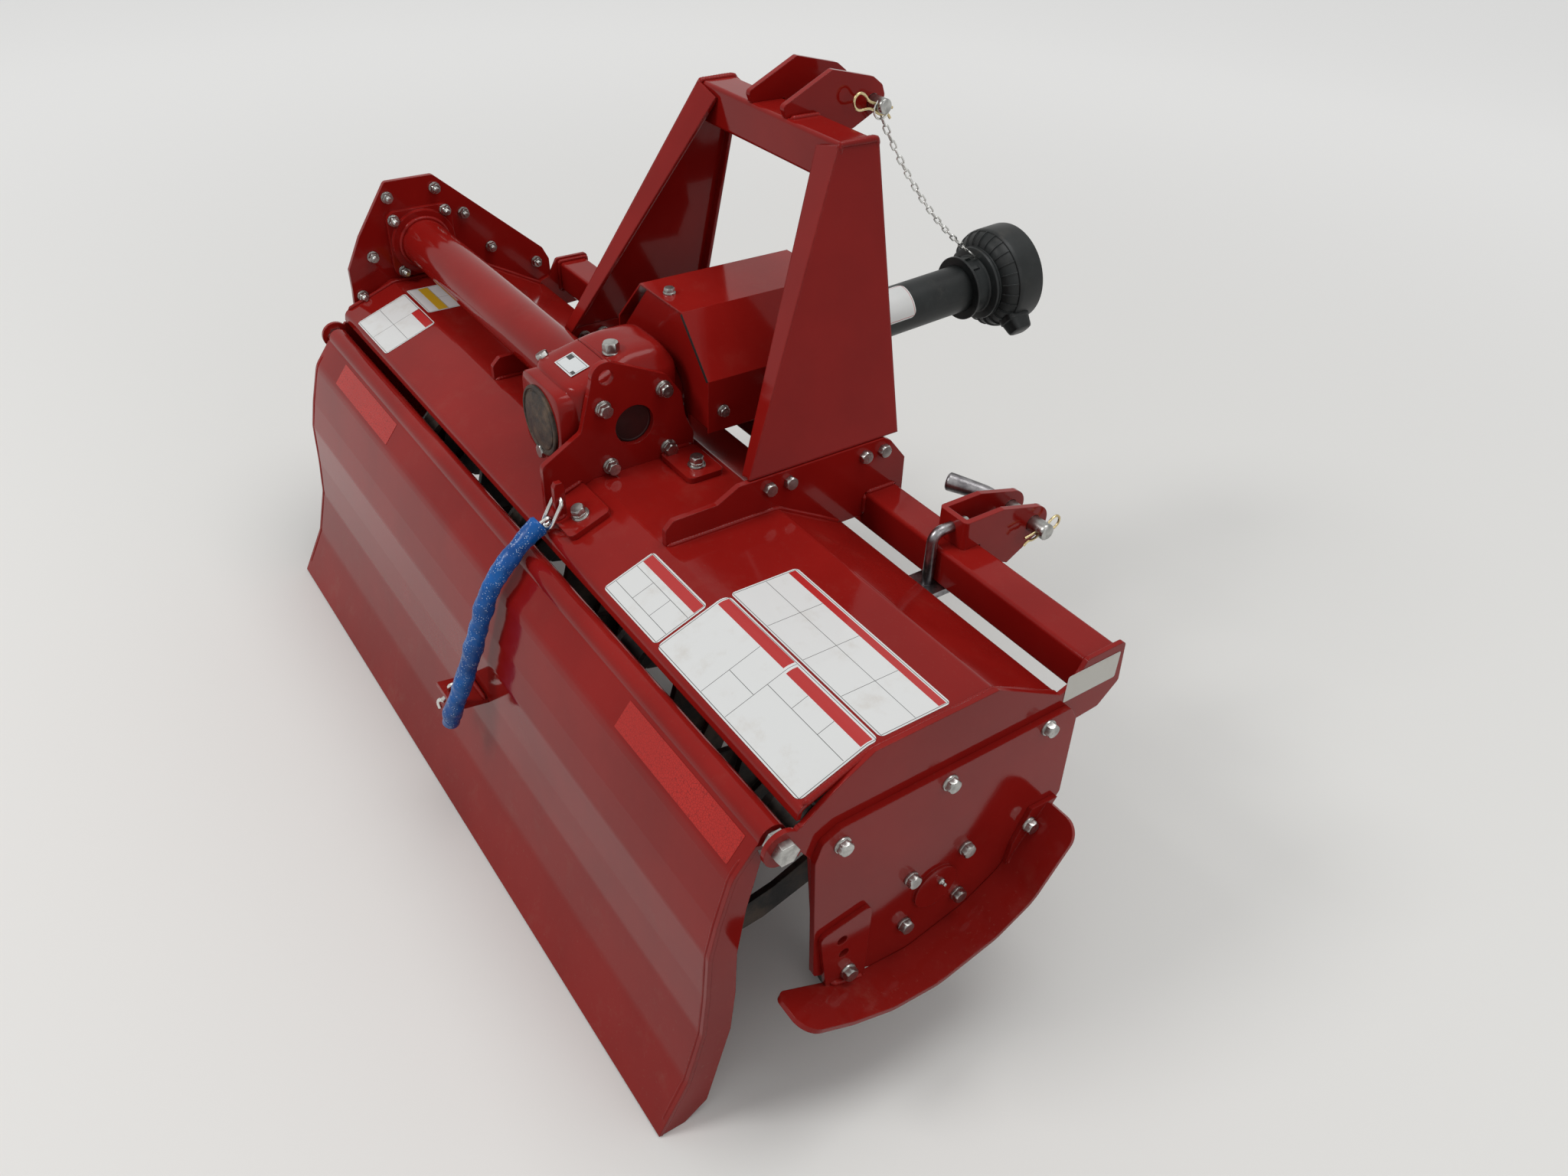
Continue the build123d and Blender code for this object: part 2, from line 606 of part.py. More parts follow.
bell_profile = [
    (guard_r, 462), (43, 462), (43, 494), (55, 494), (55, 502), (71, 522), (75, 532), (75, rim_at),
    (71, rim_at), (71, 534), (51, 508), (51, 498), (39, 498), (39, 474), (guard_r, 474),
]
with BuildPart() as guard_bell:
    with BuildSketch(Plane(drive_plane.origin, x_dir=(1, 0, 0), z_dir=-drive_plane.y_dir)):
        Polygon(*bell_profile, align=None)
    revolve(axis=Axis(drive_plane.origin, drive_plane.z_dir))
guard_bell.part.label = "guard_bell"
export_step(guard_bell.part, "parts/guard_bell.step")

with BuildPart() as guard_cone_rear:
    with BuildSketch(Plane(drive_plane.origin, x_dir=(1, 0, 0), z_dir=-drive_plane.y_dir)):
        Polygon((guard_r, 46), (38, 46), (60, 4), (60, -6), (57, -6), (57, 3), (guard_r, 41), align=None)
    revolve(axis=Axis(drive_plane.origin, drive_plane.z_dir))
guard_cone_rear.part.label = "guard_cone_rear"
export_step(guard_cone_rear.part, "parts/guard_cone_rear.step")

# Turning shaft inside the guard with the tractor yoke at the front
with BuildPart() as drive_shaft:
    with Locations(drive_plane.location):
        Sphere(cross_r)
    for side in (-1, 1):
        with BuildSketch(drive_plane.offset(-10)):
            with Locations((0, side * (cross_r - 2 + ear_out) / 2)):
                Rectangle(2 * ear_half, ear_out - cross_r + 2)
        extrude(amount=42)
    for start, length, radius in ((28, 12, ear_out), (462, 22, guard_r - 4 - run_gap)):
        with BuildSketch(drive_plane.offset(start)):
            Circle(radius)
        extrude(amount=length)
    with BuildSketch(drive_plane.offset(40)):
        Circle(18)
        Circle(14, mode=Mode.SUBTRACT)
    extrude(amount=422)
drive_shaft.part.label = "drive_shaft"
export_step(drive_shaft.part, "parts/drive_shaft.step")

yoke_bore_r = 17.5
with BuildPart() as shaft_yoke:
    with BuildSketch(drive_plane.offset(484)):
        Circle(27)
    extrude(amount=18)
    with BuildSketch(drive_plane.offset(502)):
        Circle(29)
        Circle(yoke_bore_r, mode=Mode.SUBTRACT)
    extrude(amount=60)
shaft_yoke.part.label = "shaft_yoke"
export_step(shaft_yoke.part, "parts/shaft_yoke.step")

# Chains at their real run; the links are drawn elsewhere on the same line
with BuildPart() as gate_chain:
    with BuildLine():
        FilletPolyline(*gate_chain_line, gate_hook, radius=40)
    with BuildSketch(Plane(gate_chain_line[0], z_dir=(0, -0.8, -0.6))):
        Circle(chain_r)
    sweep()
gate_chain.part.label = "gate_chain"
export_step(gate_chain.part, "parts/gate_chain.step")

collar_hook = drive_plane.from_local_coords((4, 0, 480)) + Vector(0, 0, 45.45)
guard_chain_top = Vector(62, top_pin_y, top_pin_z - top_pin_r - 3.5)
chain_mid = guard_chain_top * 0.5 + collar_hook * 0.5 + Vector(0, -10, -24)
with BuildPart() as guard_chain:
    with BuildLine():
        Polyline(guard_chain_top, chain_mid, collar_hook)
    with BuildSketch(Plane(guard_chain_top, z_dir=chain_mid - guard_chain_top)):
        Circle(3)
    sweep(transition=Transition.RIGHT)
guard_chain.part.label = "guard_chain"
export_step(guard_chain.part, "parts/guard_chain.step")
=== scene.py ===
import json
import bpy
import numpy as np
from mathutils import Matrix, Vector


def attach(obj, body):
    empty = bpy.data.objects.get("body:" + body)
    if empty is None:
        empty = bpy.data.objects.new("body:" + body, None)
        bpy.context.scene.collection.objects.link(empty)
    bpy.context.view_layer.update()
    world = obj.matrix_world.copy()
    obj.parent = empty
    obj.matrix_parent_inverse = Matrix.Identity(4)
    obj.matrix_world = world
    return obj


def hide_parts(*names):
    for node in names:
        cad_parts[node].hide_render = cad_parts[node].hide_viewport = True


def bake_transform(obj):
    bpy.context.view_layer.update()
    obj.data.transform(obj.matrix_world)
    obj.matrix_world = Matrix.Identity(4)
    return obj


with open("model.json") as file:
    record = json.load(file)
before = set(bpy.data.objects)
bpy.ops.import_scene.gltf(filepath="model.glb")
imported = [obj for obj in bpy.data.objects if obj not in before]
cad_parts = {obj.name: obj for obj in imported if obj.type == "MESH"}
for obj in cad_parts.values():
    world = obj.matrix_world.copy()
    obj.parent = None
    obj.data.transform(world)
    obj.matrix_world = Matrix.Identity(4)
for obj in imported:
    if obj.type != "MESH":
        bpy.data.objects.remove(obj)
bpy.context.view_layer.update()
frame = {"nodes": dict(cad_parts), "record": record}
bpy.context.scene.view_settings.view_transform = "Standard"
print("stage: frame loaded,", len(frame["nodes"]), "nodes")

# Camera where the photograph was taken from, in metres
cameraSet = dict(
    place=(1.23375, -0.81353, 1.29359),
    right=(0.57084, 0.82019, 0.03784),
    down=(0.51553, -0.32217, -0.794),
    focalPixels=1545.31,
    imageWidth=2048,
    sensorWidth=36.0,
)


def makeCamera():
    data = bpy.data.cameras.new("camera")
    data.sensor_width = cameraSet["sensorWidth"]
    data.lens = cameraSet["focalPixels"] / cameraSet["imageWidth"] * cameraSet["sensorWidth"]
    obj = bpy.data.objects.new("camera", data)
    right, up = Vector(cameraSet["right"]), -Vector(cameraSet["down"])
    rows = Matrix((right, up, right.cross(up))).transposed()
    obj.matrix_world = Matrix.Translation(cameraSet["place"]) @ rows.to_4x4()
    bpy.context.scene.collection.objects.link(obj)
    bpy.context.scene.camera = obj


makeCamera()


# Mesh helpers
def meshObject(name, verts, faces, smooth=True):
    mesh = bpy.data.meshes.new(name)
    mesh.from_pydata(np.asarray(verts, float).reshape(-1, 3).tolist(), [], [tuple(f) for f in faces])
    mesh.polygons.foreach_set("use_smooth", np.full(len(mesh.polygons), smooth))
    mesh.update()
    obj = bpy.data.objects.new(name, mesh)
    bpy.context.scene.collection.objects.link(obj)
    return obj


def gridFaces(nu, nv, closeU=False, closeV=False):
    # quad (i, j) joins rows i, i + 1 and columns j, j + 1, wrapping where closed
    i, j = np.meshgrid(np.arange(nu - (not closeU)), np.arange(nv - (not closeV)), indexing="ij")
    i, j = i.ravel(), j.ravel()
    i2, j2 = (i + 1) % nu, (j + 1) % nv
    return np.stack([i * nv + j, i2 * nv + j, i2 * nv + j2, i * nv + j2], 1)


def basis(axis, hint=(0, 0, 1)):
    w = np.asarray(axis, float) / np.linalg.norm(axis)
    h = np.asarray(hint, float)
    if abs(h @ w) > 0.95:
        h = np.array([0.0, 1.0, 0.0])
    u = np.cross(h, w)
    u /= np.linalg.norm(u)
    return u, np.cross(w, u), w


def spun(profile, place, axis, sides=24, turn=0.0):
    # point(s, a) = place + r(s) (cos a u + sin a v) + h(s) w, for a profile of (r, h) that runs out and up
    profile = np.asarray(profile, float)
    u, v, w = basis(axis)
    a = turn + np.arange(sides) * 2 * np.pi / sides
    ring = np.cos(a)[:, None] * u + np.sin(a)[:, None] * v
    pts = profile[:, 0, None, None] * ring[None] + profile[:, 1, None, None] * w
    faces = gridFaces(len(profile), sides, closeV=True)[:, ::-1].tolist()
    return (np.asarray(place) + pts).reshape(-1, 3), faces


def swept(path, radius, sides=10, hint=(0, 0, 1), closed=False):
    # point(s, a) = path(s) + r(s, a) (cos a n(s) + sin a b(s)); n and b square to the path's run
    path = np.asarray(path, float)
    run = np.roll(path, -1, 0) - np.roll(path, 1, 0) if closed else np.gradient(path, axis=0)
    run /= np.linalg.norm(run, axis=1)[:, None]
    n = np.cross(np.asarray(hint, float), run)
    n /= np.linalg.norm(n, axis=1)[:, None]
    b = np.cross(run, n)
    a = np.arange(sides) * 2 * np.pi / sides
    r = np.asarray(radius, float)
    r = np.broadcast_to(r[:, None] if r.ndim == 1 else r, (len(path), sides))[:, :, None]
    around = np.cos(a)[None, :, None] * n[:, None] + np.sin(a)[None, :, None] * b[:, None]
    pts = path[:, None] + r * around
    faces = gridFaces(len(path), sides, closeU=closed, closeV=True)[:, ::-1].tolist()
    if not closed:
        faces += [list(range(sides))[::-1], list(range((len(path) - 1) * sides, len(path) * sides))]
    return pts.reshape(-1, 3), faces


def joined(name, parts, smooth=True):  # one object of several (points, faces) parts
    verts, faces, base = [], [], 0
    for v, f in parts:
        verts.append(np.asarray(v, float))
        faces += [[k + base for k in face] for face in f]
        base += len(v)
    return meshObject(name, np.concatenate(verts), faces, smooth)


def bent(points, radius, steps=6):
    # corners rounded by quadratic arcs; each arc is (1-t)^2 a + 2t(1-t) c + t^2 b
    points = np.asarray(points, float)
    out = [points[:1]]
    t = np.linspace(0, 1, steps)[:, None]
    for before, corner, after in zip(points[:-2], points[1:-1], points[2:]):
        la, lb = np.linalg.norm(before - corner), np.linalg.norm(after - corner)
        a = corner + (before - corner) / la * min(radius, la * 0.49)
        b = corner + (after - corner) / lb * min(radius, lb * 0.49)
        out.append((1 - t) ** 2 * a + 2 * t * (1 - t) * corner + t**2 * b)
    out.append(points[-1:])
    return np.concatenate(out)


def along(points, at):
    # walks a polyline: place and direction at each distance
    points = np.asarray(points, float)
    total = np.concatenate([[0], np.cumsum(np.linalg.norm(np.diff(points, axis=0), axis=1))])
    place = np.stack([np.interp(at, total, points[:, k]) for k in range(points.shape[1])], -1)
    run = np.gradient(points, total, axis=0)
    turn = np.stack([np.interp(at, total, run[:, k]) for k in range(points.shape[1])], -1)
    return place, turn / np.linalg.norm(turn, axis=-1)[..., None]


def lengthOf(points):
    return float(np.linalg.norm(np.diff(np.asarray(points, float), axis=0), axis=1).sum())


def evenly(points, step):
    total = lengthOf(points)
    return along(points, np.linspace(0, total, max(3, int(total / step) + 1)))[0]


def superRing(halfA, halfB, count, power):
    # |a / halfA|^power + |b / halfB|^power = 1
    t = np.arange(count) * 2 * np.pi / count
    c, s = np.cos(t), np.sin(t)
    return np.sign(c) * np.abs(c) ** (2 / power) * halfA, np.sign(s) * np.abs(s) ** (2 / power) * halfB


def lofted(rings):
    # rings of equal count, joined in turn, both ends closed
    count = len(rings[0])
    faces = gridFaces(len(rings), count, closeV=True).tolist()
    verts = np.concatenate(rings)
    last = len(verts) - count
    return verts, faces + [list(range(count)), list(range(len(verts) - 1, last - 1, -1))]


def turnOut(obj):
    # a closed shell whose signed volume is negative is turned inside out
    mesh = obj.data
    mesh.calc_loop_triangles()
    tri = np.empty(len(mesh.loop_triangles) * 3, np.int32)
    mesh.loop_triangles.foreach_get("vertices", tri)
    co = np.empty(len(mesh.vertices) * 3, np.float32)
    mesh.vertices.foreach_get("co", co)
    p = co.reshape(-1, 3)[tri.reshape(-1, 3)].astype(float)
    p -= p.mean(axis=(0, 1))
    if np.einsum("ij,ij->i", p[:, 0], np.cross(p[:, 1], p[:, 2])).sum() < 0:
        mesh.flip_normals()


def finishPiece(obj, material, body, flatAngle=None):
    obj.data.materials.append(material)
    if flatAngle is not None:
        obj.data.set_sharp_from_angle(angle=np.radians(flatAngle))
    if body is not None:
        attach(obj, body)
    return obj


def makePiece(name, parts, material, body, flatAngle=None):
    return finishPiece(joined(name, parts), material, body, flatAngle)


# Shader helpers: an expression on Value objects adds its Math nodes
class Value:
    def __init__(self, graph, socket):
        self.graph, self.socket = graph, socket

    def combine(self, operation, other, swapped=False):
        pair = (other, self) if swapped else (self, other)
        return self.graph.node("ShaderNodeMath", dict(operation=operation), {0: pair[0], 1: pair[1]})

    def __add__(self, other):
        return self.combine("ADD", other)

    def __radd__(self, other):
        return self.combine("ADD", other, True)

    def __sub__(self, other):
        return self.combine("SUBTRACT", other)

    def __rsub__(self, other):
        return self.combine("SUBTRACT", other, True)

    def __mul__(self, other):
        return self.combine("MULTIPLY", other)

    def __rmul__(self, other):
        return self.combine("MULTIPLY", other, True)

    def ramp(self, low, high):  # 0 at low, 1 at high, smooth between
        return self.graph.node(
            "ShaderNodeMapRange", dict(interpolation_type="SMOOTHSTEP"),
            {"Value": self, "From Min": low, "From Max": high},
        )


class Graph:
    def __init__(self, name, tree=None):  # a new material's nodes, or those of the given tree
        if tree is None:
            self.material = bpy.data.materials.new(name)
            self.material.use_nodes = True
            tree = self.material.node_tree
            tree.nodes.clear()
        self.tree = tree
        self.place = self.node("ShaderNodeTexCoord", out="Object")

    def node(self, kind, settings=None, inputs=None, out=0):
        made = self.tree.nodes.new(kind)
        for key, value in (settings or {}).items():
            setattr(made, key, value)
        for key, value in (inputs or {}).items():
            if isinstance(value, Value):
                self.tree.links.new(value.socket, made.inputs[key])
            else:
                made.inputs[key].default_value = value
        return Value(self, made.outputs[out])

    def noise(self, scale, detail=3.0, rough=0.5, stretch=None):
        where = self.place
        if stretch:
            where = self.node("ShaderNodeMapping", inputs={"Vector": where, "Scale": stretch})
        inputs = {"Vector": where, "Scale": scale, "Detail": detail, "Roughness": rough}
        return self.node("ShaderNodeTexNoise", inputs=inputs)

    def part(self, name, vector=None):
        return self.node("ShaderNodeSeparateXYZ", inputs={0: vector or self.place}, out=name)

    def facing(self, name):  # how far the surface looks along one axis
        return self.part(name, self.node("ShaderNodeNewGeometry", out="Normal"))

    def edges(self, radius):  # rounded normal, and 0 on flats rising towards sharp edges
        rounded = self.node("ShaderNodeBevel", dict(samples=4), {"Radius": radius})
        flat = self.node("ShaderNodeNewGeometry", out="Normal")
        pair = {0: rounded, 1: flat}
        even = self.node("ShaderNodeVectorMath", dict(operation="DOT_PRODUCT"), pair, out="Value")
        return rounded, (1.0 - even).ramp(0.02, 0.3)

    def blendColor(self, factor, low, high):
        return self.node("ShaderNodeMix", dict(data_type="RGBA"), {0: factor, 6: low, 7: high}, out=2)

    def bump(self, height, strength, distance=0.001, normal=None):
        inputs = {"Strength": strength, "Distance": distance, "Height": height}
        if normal is not None:
            inputs["Normal"] = normal
        return self.node("ShaderNodeBump", inputs=inputs)

    def finish(self, **sockets):
        inputs = {name.replace("_", " "): value for name, value in sockets.items()}
        shader = self.node("ShaderNodeBsdfPrincipled", inputs=inputs)
        output = self.tree.nodes.new("ShaderNodeOutputMaterial")
        self.tree.links.new(shader.socket, output.inputs["Surface"])
        return self.material


def rgb(r, g, b):
    return (r, g, b, 1.0)


redSet = dict(  # paint in two tones, lighter edges that are partly worn paint and partly painted highlight, and dust
    fresh=rgb(0.262, 0.0084, 0.0064), deep=rgb(0.208, 0.0054, 0.0042), edge=rgb(0.42, 0.04, 0.03),
    dust=rgb(0.3, 0.19, 0.14), peelScale=620.0, rough=0.07, dustLevel=0.13,
)


def redPaint(name="redPaint", edgeRadius=0.0016, coarse=0.0):
    g = Graph(name)
    cloud = g.noise(5.0, 4.0, 0.55)
    peel = g.noise(redSet["peelScale"], 2.0)
    wave = g.noise(70.0, 2.0)
    smudge = g.noise(16.0, 6.0, 0.68).ramp(0.52, 0.78)
    speck = g.noise(190.0, 3.0, 0.7).ramp(0.6, 0.74)
    splash = g.part("Z").ramp(0.34, 0.02)
    up = g.facing("Z").ramp(0.3, 0.95)
    dust = (smudge * 0.7 + speck * 0.6 + 0.1) * (splash * 0.9 + up * 0.3 + 0.06) * redSet["dustLevel"]
    rounded, edge = g.edges(edgeRadius)
    # lighter red in patches along sharp edges: partly worn paint, partly painted highlight where an edge
    # catches the light
    scuffAndEdgeHighlight = edge * g.noise(48.0, 4.0, 0.6).ramp(0.4, 0.66)
    paint = g.blendColor(cloud.ramp(0.3, 0.72), redSet["deep"], redSet["fresh"])
    wornAndHighlit = g.blendColor(scuffAndEdgeHighlight * 0.35, paint, redSet["edge"])
    return g.finish(
        Base_Color=g.blendColor(dust * 1.6, wornAndHighlit, redSet["dust"]),
        Roughness=redSet["rough"] + cloud * 0.05 + dust * 0.9 + coarse * 0.3,
        Specular_IOR_Level=0.15,
        Coat_Weight=0.08 - dust * 0.5,
        Coat_Roughness=0.03,
        Normal=g.bump(peel * 0.35 + wave * (1.2 + coarse * 6.0), 0.05 + coarse * 0.2, normal=rounded),
    )


def blackPlastic(name, deep, pale, rough):
    g = Graph(name)
    grain = g.noise(900.0, 2.0)
    smear = g.noise(11.0, 5.0, 0.62)
    dust = g.noise(34.0, 6.0, 0.7).ramp(0.5, 0.8) * (g.facing("Z").ramp(-0.2, 0.9) * 0.7 + 0.3)
    rounded, edge = g.edges(0.0008)
    color = g.blendColor(smear.ramp(0.35, 0.75), deep, pale)
    color = g.blendColor(edge * 0.35, color, rgb(0.085, 0.088, 0.09))
    return g.finish(
        Base_Color=g.blendColor(dust * 0.22, color, rgb(0.16, 0.14, 0.12)),
        Roughness=rough + smear * 0.16 + dust * 0.14,
        Specular_IOR_Level=0.34,
        Normal=g.bump(grain, 0.1, 0.0006, rounded),
    )


def zincSteel(name="zincSteel", low=rgb(0.52, 0.52, 0.5), high=rgb(0.3, 0.3, 0.29), rough=0.2):
    g = Graph(name)
    blotch = g.noise(85.0, 4.0, 0.6)
    turned = g.noise(420.0, 2.0)
    soil = g.noise(150.0, 4.0, 0.7).ramp(0.58, 0.74)
    rounded, _ = g.edges(0.0007)
    color = g.blendColor(blotch.ramp(0.35, 0.7), low, high)
    return g.finish(
        Base_Color=g.blendColor(soil * 0.35, color, rgb(0.2, 0.15, 0.11)),
        Metallic=1.0 - soil * 0.35,
        Roughness=rough + blotch * 0.18 + soil * 0.25,
        Normal=g.bump(turned * 0.5 + blotch, 0.1, 0.0006, rounded),
    )


darkSet = dict(deep=rgb(0.015, 0.015, 0.016), pale=rgb(0.05, 0.046, 0.044), edge=rgb(0.2, 0.19, 0.18),
               soil=rgb(0.19, 0.135, 0.095))


def darkSteel():
    g = Graph("darkSteel")
    blotch = g.noise(24.0, 5.0, 0.62)
    scale = g.noise(210.0, 4.0, 0.65)
    soil = g.noise(15.0, 6.0, 0.7).ramp(0.44, 0.7)
    rounded, edge = g.edges(0.0015)
    color = g.blendColor(blotch.ramp(0.35, 0.7), darkSet["deep"], darkSet["pale"])
    color = g.blendColor(edge * 0.5, color, darkSet["edge"])
    return g.finish(
        Base_Color=g.blendColor(soil * 0.5, color, darkSet["soil"]),
        Metallic=0.55 - soil * 0.4,
        Roughness=0.34 + blotch * 0.22 + soil * 0.25,
        Normal=g.bump(scale * 0.6 + blotch, 0.22, normal=rounded),
    )


blueSet = dict(deep=rgb(0.0006, 0.062, 0.26), pale=rgb(0.001, 0.11, 0.4), spark=rgb(0.6, 0.74, 0.88),
               sparkScale=430.0)


def blueSleeve():
    g = Graph("blueSleeve")
    ripple = g.noise(150.0, 3.0, 0.6, (1.0, 1.0, 0.35))
    tone = g.noise(22.0, 3.0)
    where = {"Vector": g.place, "Scale": blueSet["sparkScale"]}
    glint = g.node("ShaderNodeTexVoronoi", dict(feature="F1"), where)
    pick = g.noise(95.0, 2.0).ramp(0.46, 0.56)
    spark = (1.0 - glint.ramp(0.16, 0.3)) * pick
    color = g.blendColor(tone.ramp(0.3, 0.7), blueSet["deep"], blueSet["pale"])
    return g.finish(
        Base_Color=g.blendColor(spark * 0.85, color, blueSet["spark"]),
        Roughness=0.26 + tone * 0.1,
        Specular_IOR_Level=0.35,
        Normal=g.bump(ripple, 0.35, 0.0012),
    )


finishes = dict(
    red_paint=redPaint(), zinc_steel=zincSteel(), dark_steel=darkSteel(), blue_sleeve=blueSleeve(),
    black_guard=blackPlastic("guardPlastic", rgb(0.005, 0.0062, 0.0064), rgb(0.015, 0.018, 0.0184), 0.34),
    dark_cap=blackPlastic("capPlastic", rgb(0.01, 0.009, 0.008), rgb(0.045, 0.036, 0.028), 0.46),
    bright_chain=zincSteel("brightChain", rgb(0.76, 0.76, 0.74), rgb(0.55, 0.55, 0.53), 0.16),
)
yellowZinc = zincSteel("yellowZinc", rgb(0.72, 0.6, 0.34), rgb(0.55, 0.43, 0.22), 0.18)
darkZinc = zincSteel("darkZinc", rgb(0.36, 0.35, 0.36), rgb(0.16, 0.15, 0.16), 0.24)
weldPaint = redPaint("weldPaint", 0.0005, 0.5)
mastPaint = redPaint("mastPaint", 0.004)  # its folds are wider than the plates' edges

nodeFinish = dict(lower_pin_right=finishes["zinc_steel"], lower_pin_left=finishes["zinc_steel"],
                  clamp_rod_right=darkZinc, clamp_rod_left=darkZinc,
                  mast_leg_right=mastPaint, mast_leg_left=mastPaint)
for part in frame["record"]["subparts"]:  # each CAD node takes its slot's finish
    node = frame["nodes"][part["node"]]
    node.data.materials.clear()
    node.data.materials.append(nodeFinish.get(part["node"], finishes[part["material_slot"]]))
print("stage: finishes made")

# Folded profiles of the deck and of the gate, which labels and beads follow, in metres along Y and Z
deckProfile = bent([(-0.344, 0.454), (-0.258, 0.487), (-0.1, 0.487), (0.006, 0.428)], 0.003)
deckLength = lengthOf(deckProfile)
gateSet = dict(
    hinge=(-0.3645, 0.417), lean=np.radians(8.6), fold=0.0077,
    line=[(0.004, 0.018), (0.042, 0.039), (0.105, 0.047), (0.15, 0.05), (0.216, 0.043), (0.277, 0.039),
          (0.352, 0.047), (0.4305, 0.0732)],  # distances down and back from the hinge
)
gateProfile = bent(gateSet["line"], gateSet["fold"], 9)


def onDeck(x, s, lift):  # the profile's point at run s, raised by lift square to the run
    place, run = along(deckProfile, s)
    return np.stack([x, place[:, 0] - run[:, 1] * lift, place[:, 1] + run[:, 0] * lift], 1)


def gatePoint(x, down, back):  # distances down and back from the hinge, turned by the gate's lean
    c, s = np.cos(gateSet["lean"]), np.sin(gateSet["lean"])
    y, z = gateSet["hinge"]
    return np.stack(np.broadcast_arrays(x, y - back * c - down * s, z - down * c + back * s), -1)


def onGate(x, s, lift):  # as on the deck, then hung from the gate's hinge
    place, run = along(gateProfile, s)
    return gatePoint(x, place[:, 0] - run[:, 1] * lift, place[:, 1] + run[:, 0] * lift)


def atX(x, line):  # a line of (y, z) points, set square to X
    return np.column_stack([np.full(len(line), x), line])


# Weld beads: round, with a ripple for each pass of the arc
beadSet = dict(pitch=0.0042, ripple=0.12, sway=0.08, swayRun=0.011, taper=0.004, tip=0.25,
               sides=8, step=0.0014, lift=0.0006)


def bead(points, radius, hint=(0.31, 0.22, 0.92)):
    # r(s) = R (1 + ripple |sin(pi s / pitch)| + sway sin(s / swayRun)), thinner over the taper at both ends
    path = evenly(points, beadSet["step"])
    s = np.linspace(0, lengthOf(points), len(path))
    swell = 1 + beadSet["ripple"] * np.abs(np.sin(np.pi * s / beadSet["pitch"]))
    swell += beadSet["sway"] * np.sin(s / beadSet["swayRun"])
    swell *= np.clip(np.minimum(s, s[-1] - s) / beadSet["taper"], beadSet["tip"], 1)
    return swept(path, radius * swell, beadSet["sides"], hint)


weldSet = dict(
    deckRuns=[  # distances from the middle, start and end along the deck's profile, points, bead radius
        ((0.6375,), 0.006, deckLength - 0.004, 40, 0.0032),  # end plates
        ((0.2465, 0.237), 0.094, deckLength - 0.006, 30, 0.003),  # feet of the deck brackets
    ],
    bothSides=[  # distances from the middle, line of (y, z), radius of its corners, bead radius
        ((0.6385,), [(0.04, 0.409), (0.093, 0.409), (0.093, 0.4625), (0.04, 0.4625), (0.04, 0.409)],
         0.004, 0.0034),  # front tube in its horns
        ((0.2465, 0.237), [(0.0425, 0.462), (0.0905, 0.462)], 0, 0.0032),  # brackets on the front tube
        ((0.2465, 0.237), [(0.04, 0.43), (0.04, 0.46)], 0, 0.003),
        ((0.0455, 0.0375), [(0.041, 0.881), (0.087, 0.881)], 0, 0.003),  # top clevis plates
        ((0.1515,), [(0.036, 0.832), (0.036, 0.88), (0.0895, 0.88), (0.0895, 0.832)], 0.004, 0.0042),
        ((0.6595,), [(-0.3, 0.168), (-0.254, 0.149)], 0, 0.0036),  # skid bars and tabs on the sole
        ((0.6595,), [(-0.043, 0.196), (-0.013, 0.234), (0.006, 0.262)], 0, 0.0036),
    ],
    rightOnly=[  # place in X and line of (y, z): chain tab, then the gearbox plate's foot
        (0.0985, [(-0.33, 0.469), (-0.316, 0.474)]), (0.106, [(-0.33, 0.469), (-0.316, 0.474)]),
        (0.0708, [(-0.324, 0.4735), (-0.276, 0.4905)]), (0.0708, [(-0.162, 0.4958), (-0.116, 0.4958)]),
    ],
    rightBead=0.003,
    shaftEnds=(-0.628, -0.0845), shaftAt=(-0.198, 0.547), shaftRadius=0.0395, shaftBead=0.0036,
    lug=(0.02, 0.08), lugDown=0.2175, lugBack=0.0475, lugBead=0.0032,
    gateEnd=0.6195, gateRun=(0.02, 0.42), gateSink=-0.001, gateBead=0.002,
)
beads = []
for side in (-1, 1):
    for outs, start, end, count, radius in weldSet["deckRuns"]:
        s = np.linspace(start, end, count)
        beads += [bead(onDeck(np.full(count, side * x), s, beadSet["lift"]), radius) for x in outs]
    for outs, line, corner, radius in weldSet["bothSides"]:
        line = bent(line, corner) if corner else line
        beads += [bead(atX(side * x, line), radius) for x in outs]
beads += [bead(atX(x, line), weldSet["rightBead"]) for x, line in weldSet["rightOnly"]]
angle = np.linspace(0, 2 * np.pi, 60)[:, None]
ring = np.array(weldSet["shaftAt"]) + weldSet["shaftRadius"] * np.hstack([np.cos(angle), np.sin(angle)])
for x in weldSet["shaftEnds"]:
    beads.append(bead(atX(x, ring), weldSet["shaftBead"], hint=(1, 0, 0)))
welds = makePiece("weldBeads", beads, weldPaint, "frame")
lugFoot = gatePoint(np.linspace(*weldSet["lug"], 20), weldSet["lugDown"], weldSet["lugBack"])
gateBeads = [bead(lugFoot, weldSet["lugBead"])]
for side in (-1, 1):  # the gate's end plates to its sheet
    edge = onGate(side * weldSet["gateEnd"], np.linspace(*weldSet["gateRun"], 40), weldSet["gateSink"])
    gateBeads.append(bead(edge, weldSet["gateBead"]))
makePiece("gateBeads", gateBeads, weldPaint, "tailgate")
print("stage: weld beads,", len(welds.data.polygons), "faces")


